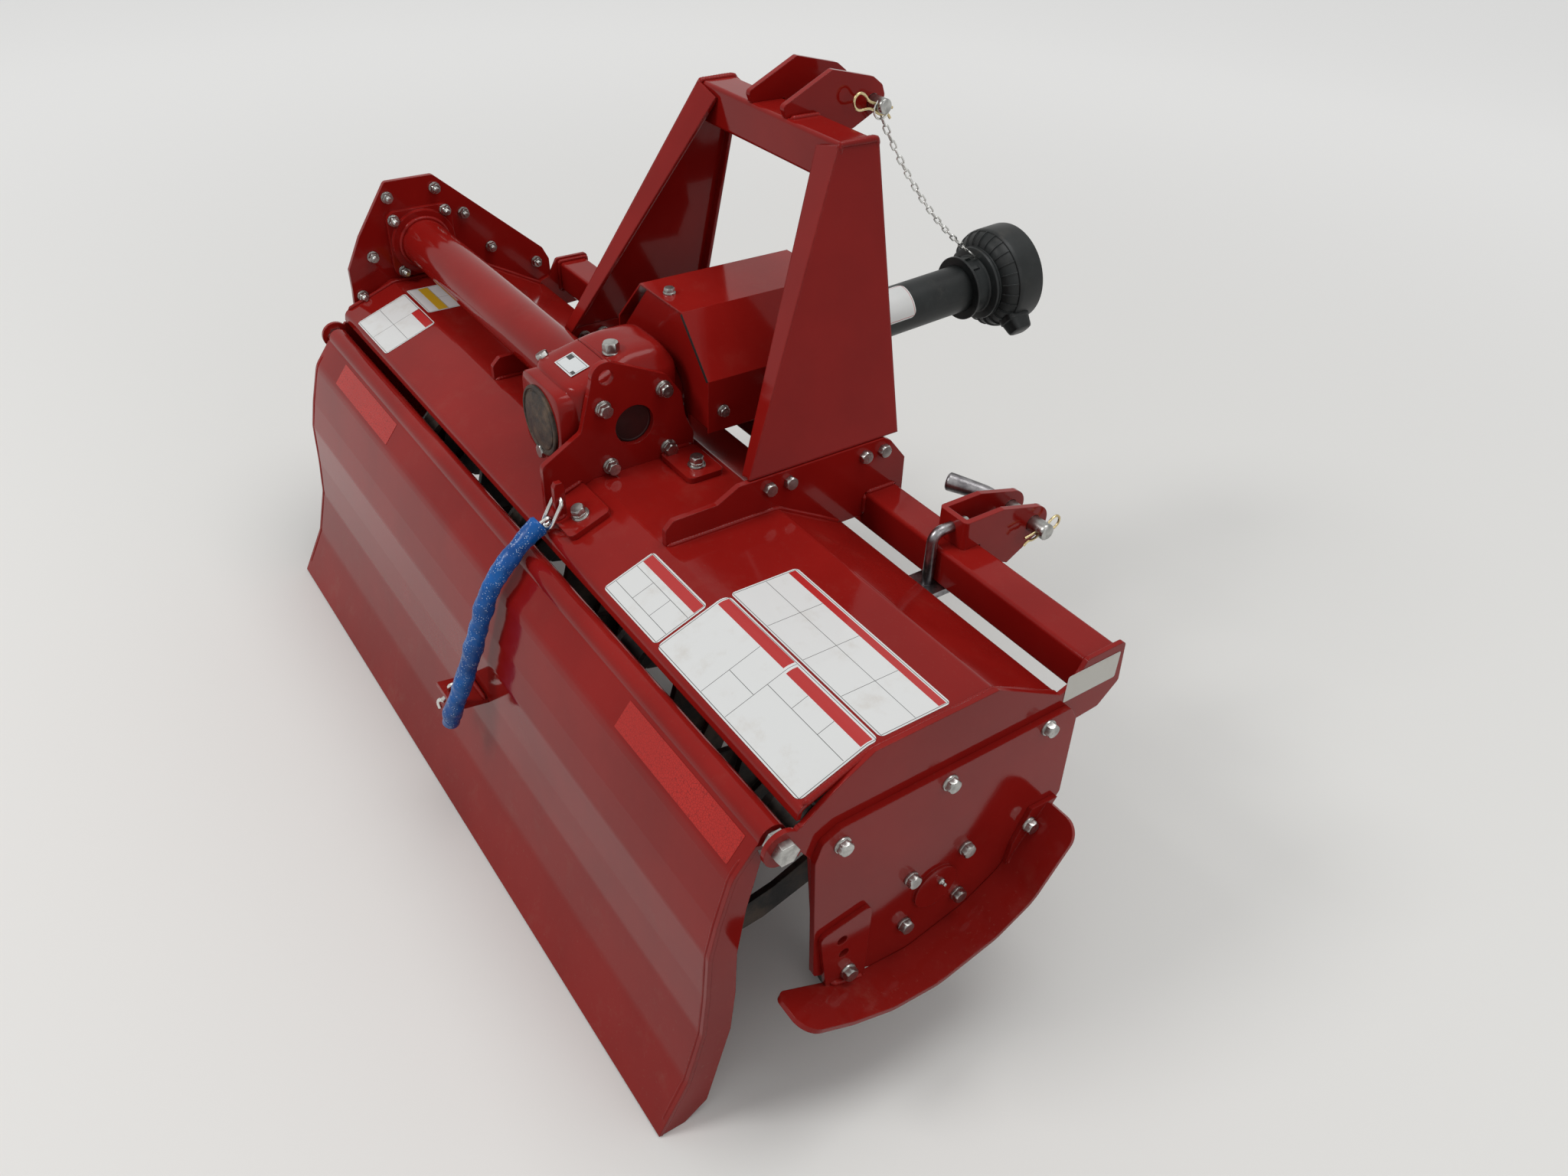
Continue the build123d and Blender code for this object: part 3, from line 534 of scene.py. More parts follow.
# Blank labels and reflective patches
def patch(name, surface, x0, x1, s0, s1, corner, lift=0.0004, cells=(24, 24)):
    # row half-width shrinks near both ends by corner - sqrt(corner^2 - d^2), d into the rounded end
    ends = corner * (1 - np.cos(np.linspace(0, np.pi / 2, 7)))
    s = np.concatenate([s0 + ends, np.linspace(s0 + corner, s1 - corner, cells[1])[1:-1], s1 - ends[::-1]])
    d = np.maximum(0, corner - np.minimum(s - s0, s1 - s))
    inset = corner - np.sqrt(np.maximum(0, corner**2 - d**2))
    t = np.linspace(0, 1, cells[0])
    x = ((x0 + inset)[:, None] * (1 - t) + (x1 - inset)[:, None] * t).ravel()
    ss = np.repeat(s, cells[0])
    verts = surface(x, ss, lift)
    faces = gridFaces(len(s), cells[0])
    middle = faces[len(faces) // 2]
    a, b, c = verts[middle[:3]]
    outward = surface(x, ss, lift + 0.001)[middle[0]] - a
    if np.cross(b - a, c - a) @ outward < 0:
        faces = faces[:, ::-1]
    obj = meshObject(name, verts, faces.tolist())
    layer = obj.data.uv_layers.new(name="labelMap")  # metres from the label's low corner
    loops = np.empty(len(obj.data.loops), np.int32)
    obj.data.loops.foreach_get("vertex_index", loops)
    uv = np.stack([x - x0, ss - s0], 1)
    layer.data.foreach_set("uv", uv[loops].astype(np.float32).ravel())
    return obj


labelSet = dict(
    ground=(0.66, 0.665, 0.655), outline=(0.02, 0.02, 0.02), soil=rgb(0.47, 0.42, 0.36), soilScale=26.0,
    line=0.0007, inset=0.0018, ruleWide=0.0009, blend=0.0003,
)


def labelFinish(name, size, bands=(), ground=labelSet["ground"], outline=labelSet["outline"], shine=0.0):
    g = Graph(name)
    where = g.node("ShaderNodeUVMap", dict(uv_map="labelMap"))
    u, v = g.part("X", where), g.part("Y", where)
    edge = labelSet["blend"]

    def inside(u0, u1, v0, v1):  # 1 in the rectangle, 0 outside, with a soft edge
        return (u.ramp(u0, u0 + edge) * v.ramp(v0, v0 + edge)
                * (1.0 - u.ramp(u1 - edge, u1)) * (1.0 - v.ramp(v1 - edge, v1)))

    soil = g.noise(labelSet["soilScale"], 6.0, 0.65).ramp(0.5, 0.8)
    color = g.blendColor(soil * 0.45, rgb(*ground), labelSet["soil"])
    for u0, u1, v0, v1, band in bands:
        color = g.blendColor(inside(u0, u1, v0, v1), color, rgb(*band))
    if outline:
        w, h, near, far = *size, labelSet["inset"], labelSet["inset"] + labelSet["line"]
        ring = inside(near, w - near, near, h - near) - inside(far, w - far, far, h - far)
        color = g.blendColor(ring, color, rgb(*outline))
    return g.finish(Base_Color=color, Roughness=0.3 + soil * 0.25, Metallic=shine, Coat_Weight=0.35)


def addLabel(name, surface, area, corner, body, slotName, lift=0.0004, cells=(24, 24), **look):
    x0, x1, s0, s1 = area
    obj = patch(name, surface, x0, x1, s0, s1, corner, lift, cells)
    return finishPiece(obj, labelFinish(name, (x1 - x0, s1 - s0), **look), body)


bandRed, bandYellow, bandDark = (0.42, 0.012, 0.011), (0.6, 0.36, 0.02), (0.03, 0.03, 0.03)


def rules(across=(), upright=()):
    # thin dark lines that part a label into blank cells: (v, u0, u1) across, (u, v0, v1) upright
    wide = labelSet["ruleWide"]
    return ([(u0, u1, v, v + wide, bandDark) for v, u0, u1 in across]
            + [(u, u + wide, v0, v1, bandDark) for u, v0, v1 in upright])


deckLabels = [  # name, x0, x1, s0, s1, corner, bands as (u0, u1, v0, v1, colour) from the low corner
    ("labelWideFront", 0.361, 0.63, 0.108, 0.199, 0.006, [(0.003, 0.266, 0.077, 0.087, bandRed)]
     + rules([(0.046, 0.003, 0.266)], [(0.069, 0.003, 0.077), (0.135, 0.003, 0.077), (0.201, 0.003, 0.077)])),
    ("labelWideRear", 0.364, 0.632, 0.005, 0.105, 0.008,
     [(0.004, 0.131, 0.082, 0.097, bandRed), (0.138, 0.264, 0.08, 0.095, bandRed)]
     + rules([(0.04, 0.088, 0.134), (0.058, 0.134, 0.264)],
             [(0.134, 0.003, 0.097), (0.088, 0.003, 0.082), (0.177, 0.058, 0.08), (0.221, 0.058, 0.08)])),
    ("labelSquare", 0.241, 0.361, 0.006, 0.078, 0.006, [(0.003, 0.117, 0.055, 0.069, bandRed)]
     + rules([(0.046, 0.003, 0.117), (0.016, 0.003, 0.117)], [(0.041, 0.016, 0.046), (0.079, 0.016, 0.046)])),
    ("labelLeftRear", -0.585, -0.457, 0.003, 0.092, 0.005, [(0.064, 0.124, 0.073, 0.088, bandRed)]
     + rules([(0.04, 0.003, 0.125)], [(0.064, 0.003, 0.087)])),
    ("labelLeftFront", -0.593, -0.497, 0.097, 0.166, 0.004, [(0.003, 0.093, 0.018, 0.034, bandYellow)]
     + rules([(0.034, 0.003, 0.093)], [(0.048, 0.034, 0.066)])),
]
for name, x0, x1, s0, s1, corner, bands in deckLabels:
    addLabel(name, onDeck, (x0, x1, s0, s1), corner, "frame", "red_paint", bands=bands)

hornSet = dict(face=0.645, area=(0.008, 0.09, 0.4195, 0.4575), corner=0.003)


def onHorn(y, z, lift):  # the flat outside of the horn that holds the front tube
    return np.stack([np.full_like(y, hornSet["face"] + lift), y, z], 1)


addLabel("labelHorn", onHorn, hornSet["area"], hornSet["corner"], "frame", "red_paint",
         ground=(0.52, 0.51, 0.47), outline=None, shine=0.4)

reflectorSet = dict(
    spans=dict(reflectorRight=(0.384, 0.61), reflectorLeft=(-0.536, -0.314)), run=(0.0015, 0.0365),
    corner=0.001, cellScale=330.0,
    seam=rgb(0.24, 0.005, 0.003), cell=rgb(0.47, 0.014, 0.008), shade=rgb(0.36, 0.01, 0.006),
)


def reflectorFinish():
    g = Graph("reflectorRed")
    where = {"Vector": g.place, "Scale": reflectorSet["cellScale"]}
    cells = g.node("ShaderNodeTexVoronoi", dict(feature="DISTANCE_TO_EDGE"), where)
    tone = g.noise(9.0, 4.0)
    color = g.blendColor(cells.ramp(0.0, 0.1), reflectorSet["seam"], reflectorSet["cell"])
    color = g.blendColor(tone.ramp(0.3, 0.7) * 0.5, color, reflectorSet["shade"])
    return g.finish(Base_Color=color, Roughness=0.2, Specular_IOR_Level=0.4, Normal=g.bump(cells, 0.2))


reflectorRed = reflectorFinish()
for name, (x0, x1) in reflectorSet["spans"].items():
    obj = patch(name, onGate, x0, x1, *reflectorSet["run"], reflectorSet["corner"])
    finishPiece(obj, reflectorRed, "tailgate")
print("stage: labels and reflectors")

# Bolts, nuts and washers
boltSet = dict(
    washer=0.0024, lock=0.003, threadPitch=0.0018, threadDepth=0.0007, sides=36,
    heads=dict(  # width over flats, height, washer radius, lock washer radius
        side=(0.016, 0.0075, 0.0102, 0.0), bearing=(0.016, 0.0075, 0.0, 0.0092),
        skid=(0.016, 0.0075, 0.01, 0.0), bracket=(0.016, 0.0078, 0.0, 0.0),
        box=(0.0162, 0.0078, 0.011, 0.0092), drive=(0.015, 0.007, 0.0, 0.0),
        foot=(0.0165, 0.008, 0.0118, 0.0096), hood=(0.0125, 0.0055, 0.0082, 0.0),
        casePlug=(0.02, 0.0075, 0.0125, 0.0), fillPlug=(0.019, 0.012, 0.0112, 0.0),
        drainPlug=(0.017, 0.0065, 0.0, 0.0), cornerPlug=(0.015, 0.006, 0.0, 0.0),
    ),
    nuts=dict(  # width over flats, height, washer radius, length of thread that stands out
        bracket=(0.016, 0.0085, 0.0104, 0.005), drive=(0.0146, 0.008, 0.0094, 0.007),
        case=(0.0146, 0.008, 0.0094, 0.008),
    ),
)


def hexBody(place, axis, size, height, washer, lock, turn):
    # r(a) steps round a hexagon; its top is a shallow cone, so each corner is bevelled as on a real head
    bore, h, parts = size * 0.3, 0.0, []
    if washer:
        h = boltSet["washer"]
        ring = [(bore, 0), (washer, 0), (washer, h * 0.7), (washer * 0.965, h), (bore, h)]
        parts.append(spun(ring, place, axis, 32))
    if lock:
        low, h = h, h + boltSet["lock"]
        ring = [(bore, low), (lock, low), (lock * 1.02, low + 0.0012), (lock, h), (bore, h)]
        parts.append(spun(ring, place, axis, 28))
    sides = boltSet["sides"]
    a = np.arange(sides) * 2 * np.pi / sides
    hexR = size / np.sqrt(3) * np.cos(np.pi / 6) / np.cos((a % (np.pi / 3)) - np.pi / 6)
    u, v, w = basis(axis)
    ring = np.cos(a + turn)[:, None] * u + np.sin(a + turn)[:, None] * v
    face = size * 0.5 * 0.97  # radius of the flat top
    steps = (
        (hexR, h), (hexR, h + height * 0.86 - (hexR - face) * 0.55), (np.minimum(hexR, face), h + height),
        (face * 0.8, h + height * 1.005), (1e-5, h + height * 1.01),
    )
    rows = []
    for radius, level in steps:
        radius, level = (np.broadcast_to(value, sides)[:, None] for value in (radius, level))
        rows.append(np.asarray(place) + ring * radius + level * w)
    return parts + [(np.concatenate(rows), gridFaces(len(rows), sides, closeV=True)[:, ::-1].tolist())]


def hexHead(kind, place, axis, turn):
    return hexBody(place, axis, *boltSet["heads"][kind], turn)


def hexNut(kind, place, axis, turn):
    # a nut with the bolt's end standing out of it, whose radius steps in by the thread's depth at each turn
    size, height, washer, stub = boltSet["nuts"][kind]
    base = height + boltSet["washer"] - 0.0005
    k = np.arange(int(stub / boltSet["threadPitch"]) * 2 + 1)
    radius = size * 0.3 - boltSet["threadDepth"] * (1 - k % 2)
    thread = np.stack([radius, base + k * boltSet["threadPitch"] / 2], 1)
    tip = [(size * 0.24, base + stub), (1e-5, base + stub)]
    return hexBody(place, axis, size, height, washer, 0.0, turn) + [spun([*thread, *tip], place, axis, 20)]


right, up, rearward = (1, 0, 0), (0, 0, 1), (0, -1, 0)
boltPlaces = dict(  # (y, z) places on faces that stand square to X
    plate=[(-0.298, 0.39), (-0.159, 0.398), (-0.018, 0.403)],
    bearing=[(y, z) for y in (-0.195, -0.116) for z in (0.1905, 0.2695)],
    skid=[(-0.277, 0.174), (-0.02, 0.254)],
    bracket=[(y, 0.519) for y in (-0.112, -0.082, 0.035, 0.065)],
    box=[(-0.241, 0.582), (-0.156, 0.587), (-0.151, 0.501), (-0.235, 0.499)],
    drive=[(-0.244, 0.623), (-0.165, 0.626), (-0.122, 0.578), (-0.081, 0.5125), (-0.001, 0.47),
           (-0.282, 0.533), (-0.309, 0.472)],
    case=[(-0.242, 0.588), (-0.1555, 0.591), (-0.237, 0.503), (-0.155, 0.504)],
    hood=[(-0.096, 0.56)],
)
boltRows = [  # maker, kind, places, face in X, side it looks to, first turn, turn from one to the next
    (hexHead, "side", "plate", 0.653, 1, 0.2, 0),
    (hexHead, "bearing", "bearing", 0.653, 1, 0, 0.3),
    (hexHead, "box", "box", 0.07, 1, 0.2, 0.3),
    (hexHead, "box", "box", -0.07, -1, 0.5, 0.3),
    (hexNut, "drive", "drive", -0.645, 1, 0, 0.4),
    (hexHead, "drive", "drive", -0.653, -1, 0, 0.3),
    (hexNut, "case", "case", -0.637, 1, 0, 0.25),
]
for side in (-1, 1):
    boltRows += [
        (hexHead, "skid", "skid", side * 0.659, side, 0.4, -0.3),
        (hexHead, "bracket", "bracket", side * 0.2457, side, 0, 0.35),
        (hexNut, "bracket", "bracket", side * 0.2377, -side, 0, 0.2),
        (hexHead, "hood", "hood", side * 0.115, side, 0.5, 0),
    ]
singleBolts = [  # kind, place, axis, turn
    ("foot", (-0.12, -0.226, 0.495), up, 0.3),
    ("foot", (-0.12, -0.138, 0.495), up, 0.3),
    ("foot", (0.12, -0.138, 0.495), up, 0.3),
    ("foot", (0.121, -0.3045, 0.4772), (0, -0.3582, 0.9336), 0.6),
    ("hood", (-0.006, -0.1, 0.672), up, 0.2),
    ("casePlug", (-0.682, -0.198, 0.601), up, 0.1),
    ("casePlug", (-0.682, -0.229, 0.2035), (0, -0.94, -0.34), 0.1),
]
hardware = []
for make, kind, row, x, look, turn, step in boltRows:
    for k, place in enumerate(atX(x, boltPlaces[row])):
        hardware += make(kind, place, (look, 0, 0), turn + step * k)
for kind, place, axis, turn in singleBolts:
    hardware += hexHead(kind, place, axis, turn)
makePiece("frameBolts", hardware, finishes["zinc_steel"], "frame", 32)

# Painted shade of the open joint along the hood's right slope, which looks dark from behind: a thin black
# closed strip, square to Y
gapShadeSet = dict(
    outline=[(0.053, 0.6708), (0.1143, 0.6046), (0.1108, 0.6014), (0.0496, 0.6674)],
    rear=-0.1174, front=-0.1166, deep=rgb(0.004, 0.003, 0.003), pale=rgb(0.012, 0.008, 0.007), rough=0.6,
)
rings = [np.insert(gapShadeSet["outline"], 1, y, axis=1) for y in (gapShadeSet["rear"], gapShadeSet["front"])]
obj = joined("hoodGapShade", [lofted(rings)], False)
turnOut(obj)
gapShade = blackPlastic("gapShade", gapShadeSet["deep"], gapShadeSet["pale"], gapShadeSet["rough"])
finishPiece(obj, gapShade, "frame")

nippleSet = dict(
    place=(0.657, -0.1495, 0.2375),
    profile=[(0.0042, 0), (0.0042, 0.0022), (0.0028, 0.003), (0.0024, 0.0046), (0.0018, 0.0053),
             (0.0024, 0.0063), (0.0024, 0.0073), (0.0016, 0.0083), (1e-5, 0.0085)],
)
makePiece("greaseNipple", [spun(nippleSet["profile"], nippleSet["place"], right, 20)],
          finishes["zinc_steel"], "frame", 40)
print("stage: bolts and nuts")

# Hairpin clips and hitch pins
clipSet = dict(
    outline=[  # along the leg that goes through the pin, and square to it
        (-0.022, 0.0), (0.03, 0.0), (0.042, 0.003), (0.052, 0.011), (0.066, 0.013), (0.075, 0.002),
        (0.072, -0.012), (0.058, -0.019), (0.044, -0.014), (0.032, -0.01), (0.02, -0.0115),
        (0.01, -0.0155), (0.000, -0.0165), (-0.01, -0.0125), (-0.017, -0.0135), (-0.024, -0.019),
    ],
    places=[  # place, direction of the leg, direction of the bow, share of the outline's size, wire radius
        ((0.0575, 0.175, 0.8828), (0, -0.96, 0.28), (0, 0.28, 0.96), 0.66, 0.0018),
        ((-0.427, 0.1675, 0.4577), (0, 0.98, 0.16), (0, -0.16, 0.98), 0.62, 0.0017),
        ((0.427, 0.1675, 0.4577), (0, 0.98, 0.16), (0, -0.16, 0.98), 0.62, 0.0017),
    ],
)


def hairpin(place, leg, bow, scale, wire):
    # straight leg through the pin, a round loop, and a waved leg that grips the pin from outside
    flat = bent(np.array(clipSet["outline"]) * scale, 1.0, 5)
    a, b = np.asarray(leg, float), np.asarray(bow, float)
    path = np.asarray(place) + flat[:, :1] * a / np.linalg.norm(a) + flat[:, 1:] * b / np.linalg.norm(b)
    return swept(path, wire, 10, hint=np.cross(a, b))


makePiece("hairpins", [hairpin(*clip) for clip in clipSet["places"]], yellowZinc, "frame", 50)

pinSet = dict(
    handle=[(0.356, 0.182, 0.46), (0.334, 0.18, 0.46), (0.308, 0.167, 0.461), (0.279, 0.152, 0.462)],
    bend=0.03, radius=0.0098, growth=0.003, waist=0.002, waistAt=0.12, waistRun=0.1, tip=0.035,
    dome=[(0.0111, -0.003), (0.0111, 0.0008), (0.0104, 0.0018), (0.0092, 0.0027), (0.008, 0.003),
          (1e-5, 0.0031)],
    lowerEnd=(0.4362, 0.182, 0.46), topEnd=(0.0652, 0.171, 0.884), topScale=(0.86, 0.9),
    rodTip=[(0.0068, 0), (0.0068, 0.014), (0.006, 0.0165), (1e-5, 0.0167)], rodEnd=(0.388, 0.07, 0.484),
)


def pinHandle(flip):
    # r(t) = radius + growth t - waist exp(-((t - waistAt) / waistRun)^2), rounded off over the tip
    path = evenly(bent(np.array(pinSet["handle"]) * flip, pinSet["bend"], 8), 0.002)
    t = np.linspace(0, 1, len(path))
    radius = pinSet["radius"] + pinSet["growth"] * t
    radius -= pinSet["waist"] * np.exp(-((t - pinSet["waistAt"]) / pinSet["waistRun"]) ** 2)
    return swept(path, radius * np.sqrt(np.clip((1 - t) / pinSet["tip"], 0.02, 1)), 24)


flips = [np.array([side, 1, 1]) for side in (-1, 1)]
makePiece("pinHandles", [pinHandle(flip) for flip in flips], darkZinc, "frame", 60)
parts = [spun(pinSet["dome"], flip * pinSet["lowerEnd"], (flip[0], 0, 0), 32) for flip in flips]
parts.append(spun(np.array(pinSet["dome"]) * pinSet["topScale"], pinSet["topEnd"], right, 32))
parts += [spun(pinSet["rodTip"], flip * pinSet["rodEnd"], (0, 1, 0), 24) for flip in flips]
makePiece("pinEnds", parts, finishes["zinc_steel"], "frame", 40)
print("stage: hitch pins")

# Gearbox casting: stacked rounded rectangles whose centre moves forward as they rise
castSet = dict(
    power=4.6, around=112, axisY=-0.198, axisZ=0.547,
    rings=[  # height, half width, half length, centre in Y
        (0.4882, 0.05, 0.066, -0.198), (0.4895, 0.056, 0.073, -0.198), (0.495, 0.0605, 0.078, -0.198),
        (0.52, 0.0618, 0.0798, -0.198), (0.585, 0.0618, 0.0798, -0.198), (0.596, 0.0614, 0.0794, -0.198),
        (0.602, 0.0602, 0.0784, -0.1975), (0.6055, 0.0585, 0.0765, -0.1965), (0.608, 0.0565, 0.072, -0.193),
        (0.613, 0.0532, 0.062, -0.1865), (0.619, 0.049, 0.05, -0.1785), (0.6245, 0.0445, 0.039, -0.1715),
        (0.6285, 0.0385, 0.0295, -0.1665), (0.6308, 0.03, 0.0215, -0.163), (0.6318, 0.019, 0.013, -0.16),
        (0.632, 0.0004, 0.0004, -0.16),
    ],
    bossPower=6.0,
    boss=[(0.26, 0.053), (0.2885, 0.053), (0.2908, 0.052), (0.292, 0.049)],  # distance back, half size
    snout=[(0.0282, -0.08), (0.0282, -0.058), (0.042, -0.058), (0.042, -0.0425), (0.0405, -0.0405),
           (0.021, -0.04), (0.0205, -0.042)],
    seamHalf=0.056, seamY=-0.214, seamTop=0.6232, seamDrop=0.019, seamRadius=0.0022,
)
n = castSet["around"]
rings = []
for z, halfX, halfY, y in castSet["rings"]:
    p, q = superRing(halfX, halfY, n, castSet["power"])
    rings.append(np.stack([p, y + q, np.full(n, z)], 1))
castBody = lofted(rings)
rings = []
for back, half in castSet["boss"]:
    p, q = superRing(half, half, n, castSet["bossPower"])
    rings.append(np.stack([p, np.full(n, -back), castSet["axisZ"] + q], 1))
castBoss = lofted(rings)
drivePlace, driveRun = np.array((0.0, -0.062, 0.547)), np.array((0.0, 0.998342, 0.057564))
castSnout = spun(castSet["snout"], drivePlace, driveRun, 64)
t = np.linspace(-0.93, 0.93, 60)  # parting line over the top, as a low rounded ridge
seamHeight = castSet["seamTop"] - castSet["seamDrop"] * np.abs(t) ** 5
seam = np.stack([castSet["seamHalf"] * t, np.full(60, castSet["seamY"]), seamHeight], 1)
castSeam = swept(evenly(seam, 0.0015), castSet["seamRadius"], 8, hint=(0, 1, 0))
casting = joined("gearboxCasting", [castBody, castBoss, castSnout, castSeam])
finishPiece(casting, redPaint("castPaint", 0.0012, 0.22), "frame", 38)
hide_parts("gearbox_housing")

capSet = dict(
    rear=-0.292, deep=rgb(0.014, 0.01, 0.008), pale=rgb(0.065, 0.044, 0.03), rust=rgb(0.15, 0.095, 0.055),
    profile=[(0.0458, 0.0), (0.0458, 0.003), (0.0446, 0.0044), (0.042, 0.0048), (0.0408, 0.003),
             (0.0386, 0.0026), (0.0374, 0.0042), (0.034, 0.005), (0.012, 0.0064), (1e-5, 0.0066)],
    # the bore colours and disc below are painted shade: a dark disc in the flange plate's round hole
    boreX=0.062, boreShadeDeep=rgb(0.014, 0.0008, 0.0006), boreShadePale=rgb(0.042, 0.0022, 0.0016), boreRough=0.5,
    bore=[(0.0268, 0), (0.0268, 0.001), (0.0246, 0.0014), (0.0236, 0.0006), (0.012, 0.0003), (1e-5, 0.0003)],
)


def agedCap():
    g = Graph("agedCap")
    wrinkle = g.noise(75.0, 6.0, 0.72)
    rust = g.noise(30.0, 6.0, 0.65).ramp(0.46, 0.7)
    color = g.blendColor(wrinkle.ramp(0.35, 0.7), capSet["deep"], capSet["pale"])
    return g.finish(
        Base_Color=g.blendColor(rust * 0.7, color, capSet["rust"]),
        Roughness=0.38 + wrinkle * 0.35, Metallic=0.2, Normal=g.bump(wrinkle, 0.8, 0.0025),
    )


capPlace = (0, capSet["rear"], castSet["axisZ"])
capPlate = joined("gearboxCap", [spun(capSet["profile"], capPlace, rearward, 72)])
finishPiece(capPlate, agedCap(), "frame", 35)
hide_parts("gearbox_rear_cap")

# A dark disc at the bottom of the flange plate's round hole: painted shade, so the shallow hole reads as a
# deep recess
boreShadePlace = (capSet["boreX"], castSet["axisY"], castSet["axisZ"])
obj = joined("gearboxBoreShade", [spun(capSet["bore"], boreShadePlace, right, 64)])
boreShade = blackPlastic("boreShade", capSet["boreShadeDeep"], capSet["boreShadePale"], capSet["boreRough"])
finishPiece(obj, boreShade, "frame", 35)

plugs = hexHead("fillPlug", (0.02, -0.2, 0.6255), up, 0.1)
plugs += hexHead("drainPlug", (-0.004, capSet["rear"], 0.501), rearward, 0.3)
plugs += hexHead("cornerPlug", (-0.0495, -0.261, 0.6055), (-0.35, -0.35, 0.87), 0.3)
makePiece("gearboxPlugs", plugs, finishes["zinc_steel"], "frame", 32)

plateSet = dict(
    slopeY=[-0.27, -0.265, -0.2485, -0.2285, -0.2105], slopeZ=[0.606, 0.608, 0.613, 0.619, 0.6245],
    area=(-0.019, 0.027, -0.26, -0.234), corner=0.001, lift=0.001, cells=(12, 10),
    bands=[(0.002, 0.013, 0.015, 0.023, bandDark), (0.036, 0.044, 0.003, 0.008, bandDark)],
)


def onCasting(x, y, lift):  # the rear slope of the casting's top
    return np.stack([x, y, np.interp(y, plateSet["slopeY"], plateSet["slopeZ"]) + lift], 1)


addLabel("labelGearbox", onCasting, plateSet["area"], plateSet["corner"], "frame", "red_paint",
         plateSet["lift"], plateSet["cells"], bands=plateSet["bands"], ground=(0.62, 0.64, 0.64))
print("stage: gearbox")

# Driveline guard: turned bell and cone with moulded ribs; profiles are (radius, run) in millimetres
driveU, driveV, _ = basis(driveRun)
bellDome = [(55.2, 504.2), (59.6, 505.8), (63.6, 508.8), (67.0, 512.8), (69.8, 517.6), (71.4, 521.6)]
guardSet = dict(
    sides=96, tubeRadius=0.035,
    bell=[
        (35.2, 474), (35.2, 462), (46.6, 462), (47.6, 462.8), (47.6, 466), (46.6, 467), (43.2, 467.8),
        (42.6, 470), (42.6, 489), (44, 491), (51.5, 492.4), (54.2, 493.8), (54.8, 495.5), (54.8, 497.2),
        (53.4, 497.9), (53.4, 499), (54.8, 499.7), (54.8, 501.6), (53.2, 502.3), (53.2, 503.4), *bellDome,
        (73.4, 522.4), (74.6, 524.6), (75, 530), (75, 565), (74.4, 568), (73, 569), (71.6, 568), (71.2, 545),
        (69.6, 532), (62.5, 520), (53.5, 509), (48.5, 502), (39.5, 498), (39.5, 474), (35.2, 474),
    ],
    bellFins=26, finRise=0.0019, finSink=0.0012, finThick=0.0017,
    lugs=[(42, 467), (45.8, 467.4), (45.8, 478), (42, 484)], lugAngles=np.radians((60, 90, 120, 240, 300)),
    lugThick=0.005,
    cone=[
        (35.2, 46), (38.0, 46), (38.8, 44.6), (59.2, 5.6), (60, 3), (60, -5.2), (59.4, -6), (57.6, -6),
        (57, -5.2), (57, 3), (36.2, 41), (35.2, 41), (35.2, 46),
    ],
    coneFins=20, coneFin=[(38.0, 45), (40.4, 44), (59.8, 6.8), (58.6, 5)], coneFinThick=0.0026,
)


def inMetres(key):
    return np.array(guardSet[key]) / 1000


def aroundDrive(r, s, angle):  # the point at run s and radius r, turned by angle about the driveline
    ring = np.cos(angle)[..., None] * driveU + np.sin(angle)[..., None] * driveV
    return drivePlace + np.asarray(r)[..., None] * ring + np.asarray(s)[..., None] * driveRun


def fin(profile, angle, thick):
    # a flat rib: its (radius, run) outline, thickened sideways
    side = (-np.sin(angle) * driveU + np.cos(angle) * driveV) * thick / 2
    flat = aroundDrive(profile[:, 0], profile[:, 1], np.full(len(profile), angle))
    k = len(profile)
    faces = [[i, (i + 1) % k, (i + 1) % k + k, i + k] for i in range(k)]
    return np.concatenate([flat - side, flat + side]), faces + [list(range(k))[::-1], list(range(k, 2 * k))]


def finRing(profile, count, thick):
    return [fin(profile, angle, thick) for angle in np.arange(count) * 2 * np.pi / count]


ridge = bent(np.array(bellDome) / 1000, 0.0015, 3)
run = np.gradient(ridge, axis=0)
outward = np.stack([run[:, 1], -run[:, 0]], 1) / np.linalg.norm(run, axis=1)[:, None]
low, high = ridge - outward * guardSet["finSink"], ridge + outward * guardSet["finRise"]
parts = [spun(inMetres("bell"), drivePlace, driveRun, guardSet["sides"])]
parts += finRing(np.concatenate([low, high[::-1]]), guardSet["bellFins"], guardSet["finThick"])
parts += [fin(inMetres("lugs"), angle, guardSet["lugThick"]) for angle in guardSet["lugAngles"]]
bell = makePiece("guardBellShell", parts, finishes["black_guard"], "driveline", 30)
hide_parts("guard_bell")

parts = [spun(inMetres("cone"), drivePlace, driveRun, guardSet["sides"])]
parts += finRing(inMetres("coneFin"), guardSet["coneFins"], guardSet["coneFinThick"])
cone = makePiece("guardConeShell", parts, finishes["black_guard"], "driveline", 30)
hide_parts("guard_cone_rear")

tubeLabelSet = dict(firstAngle=84, area=(0.0, 0.058, 0.262, 0.352), corner=0.01, cells=(40, 24))


def onTube(x, s, lift):  # x runs round the tube from its top, on the right side
    angle = np.radians(tubeLabelSet["firstAngle"]) + x / guardSet["tubeRadius"]
    return aroundDrive(guardSet["tubeRadius"] + np.full_like(s, lift), s, angle)


addLabel("labelTube", onTube, tubeLabelSet["area"], tubeLabelSet["corner"], "driveline", "black_guard",
         cells=tubeLabelSet["cells"], outline=(0.45, 0.04, 0.04))

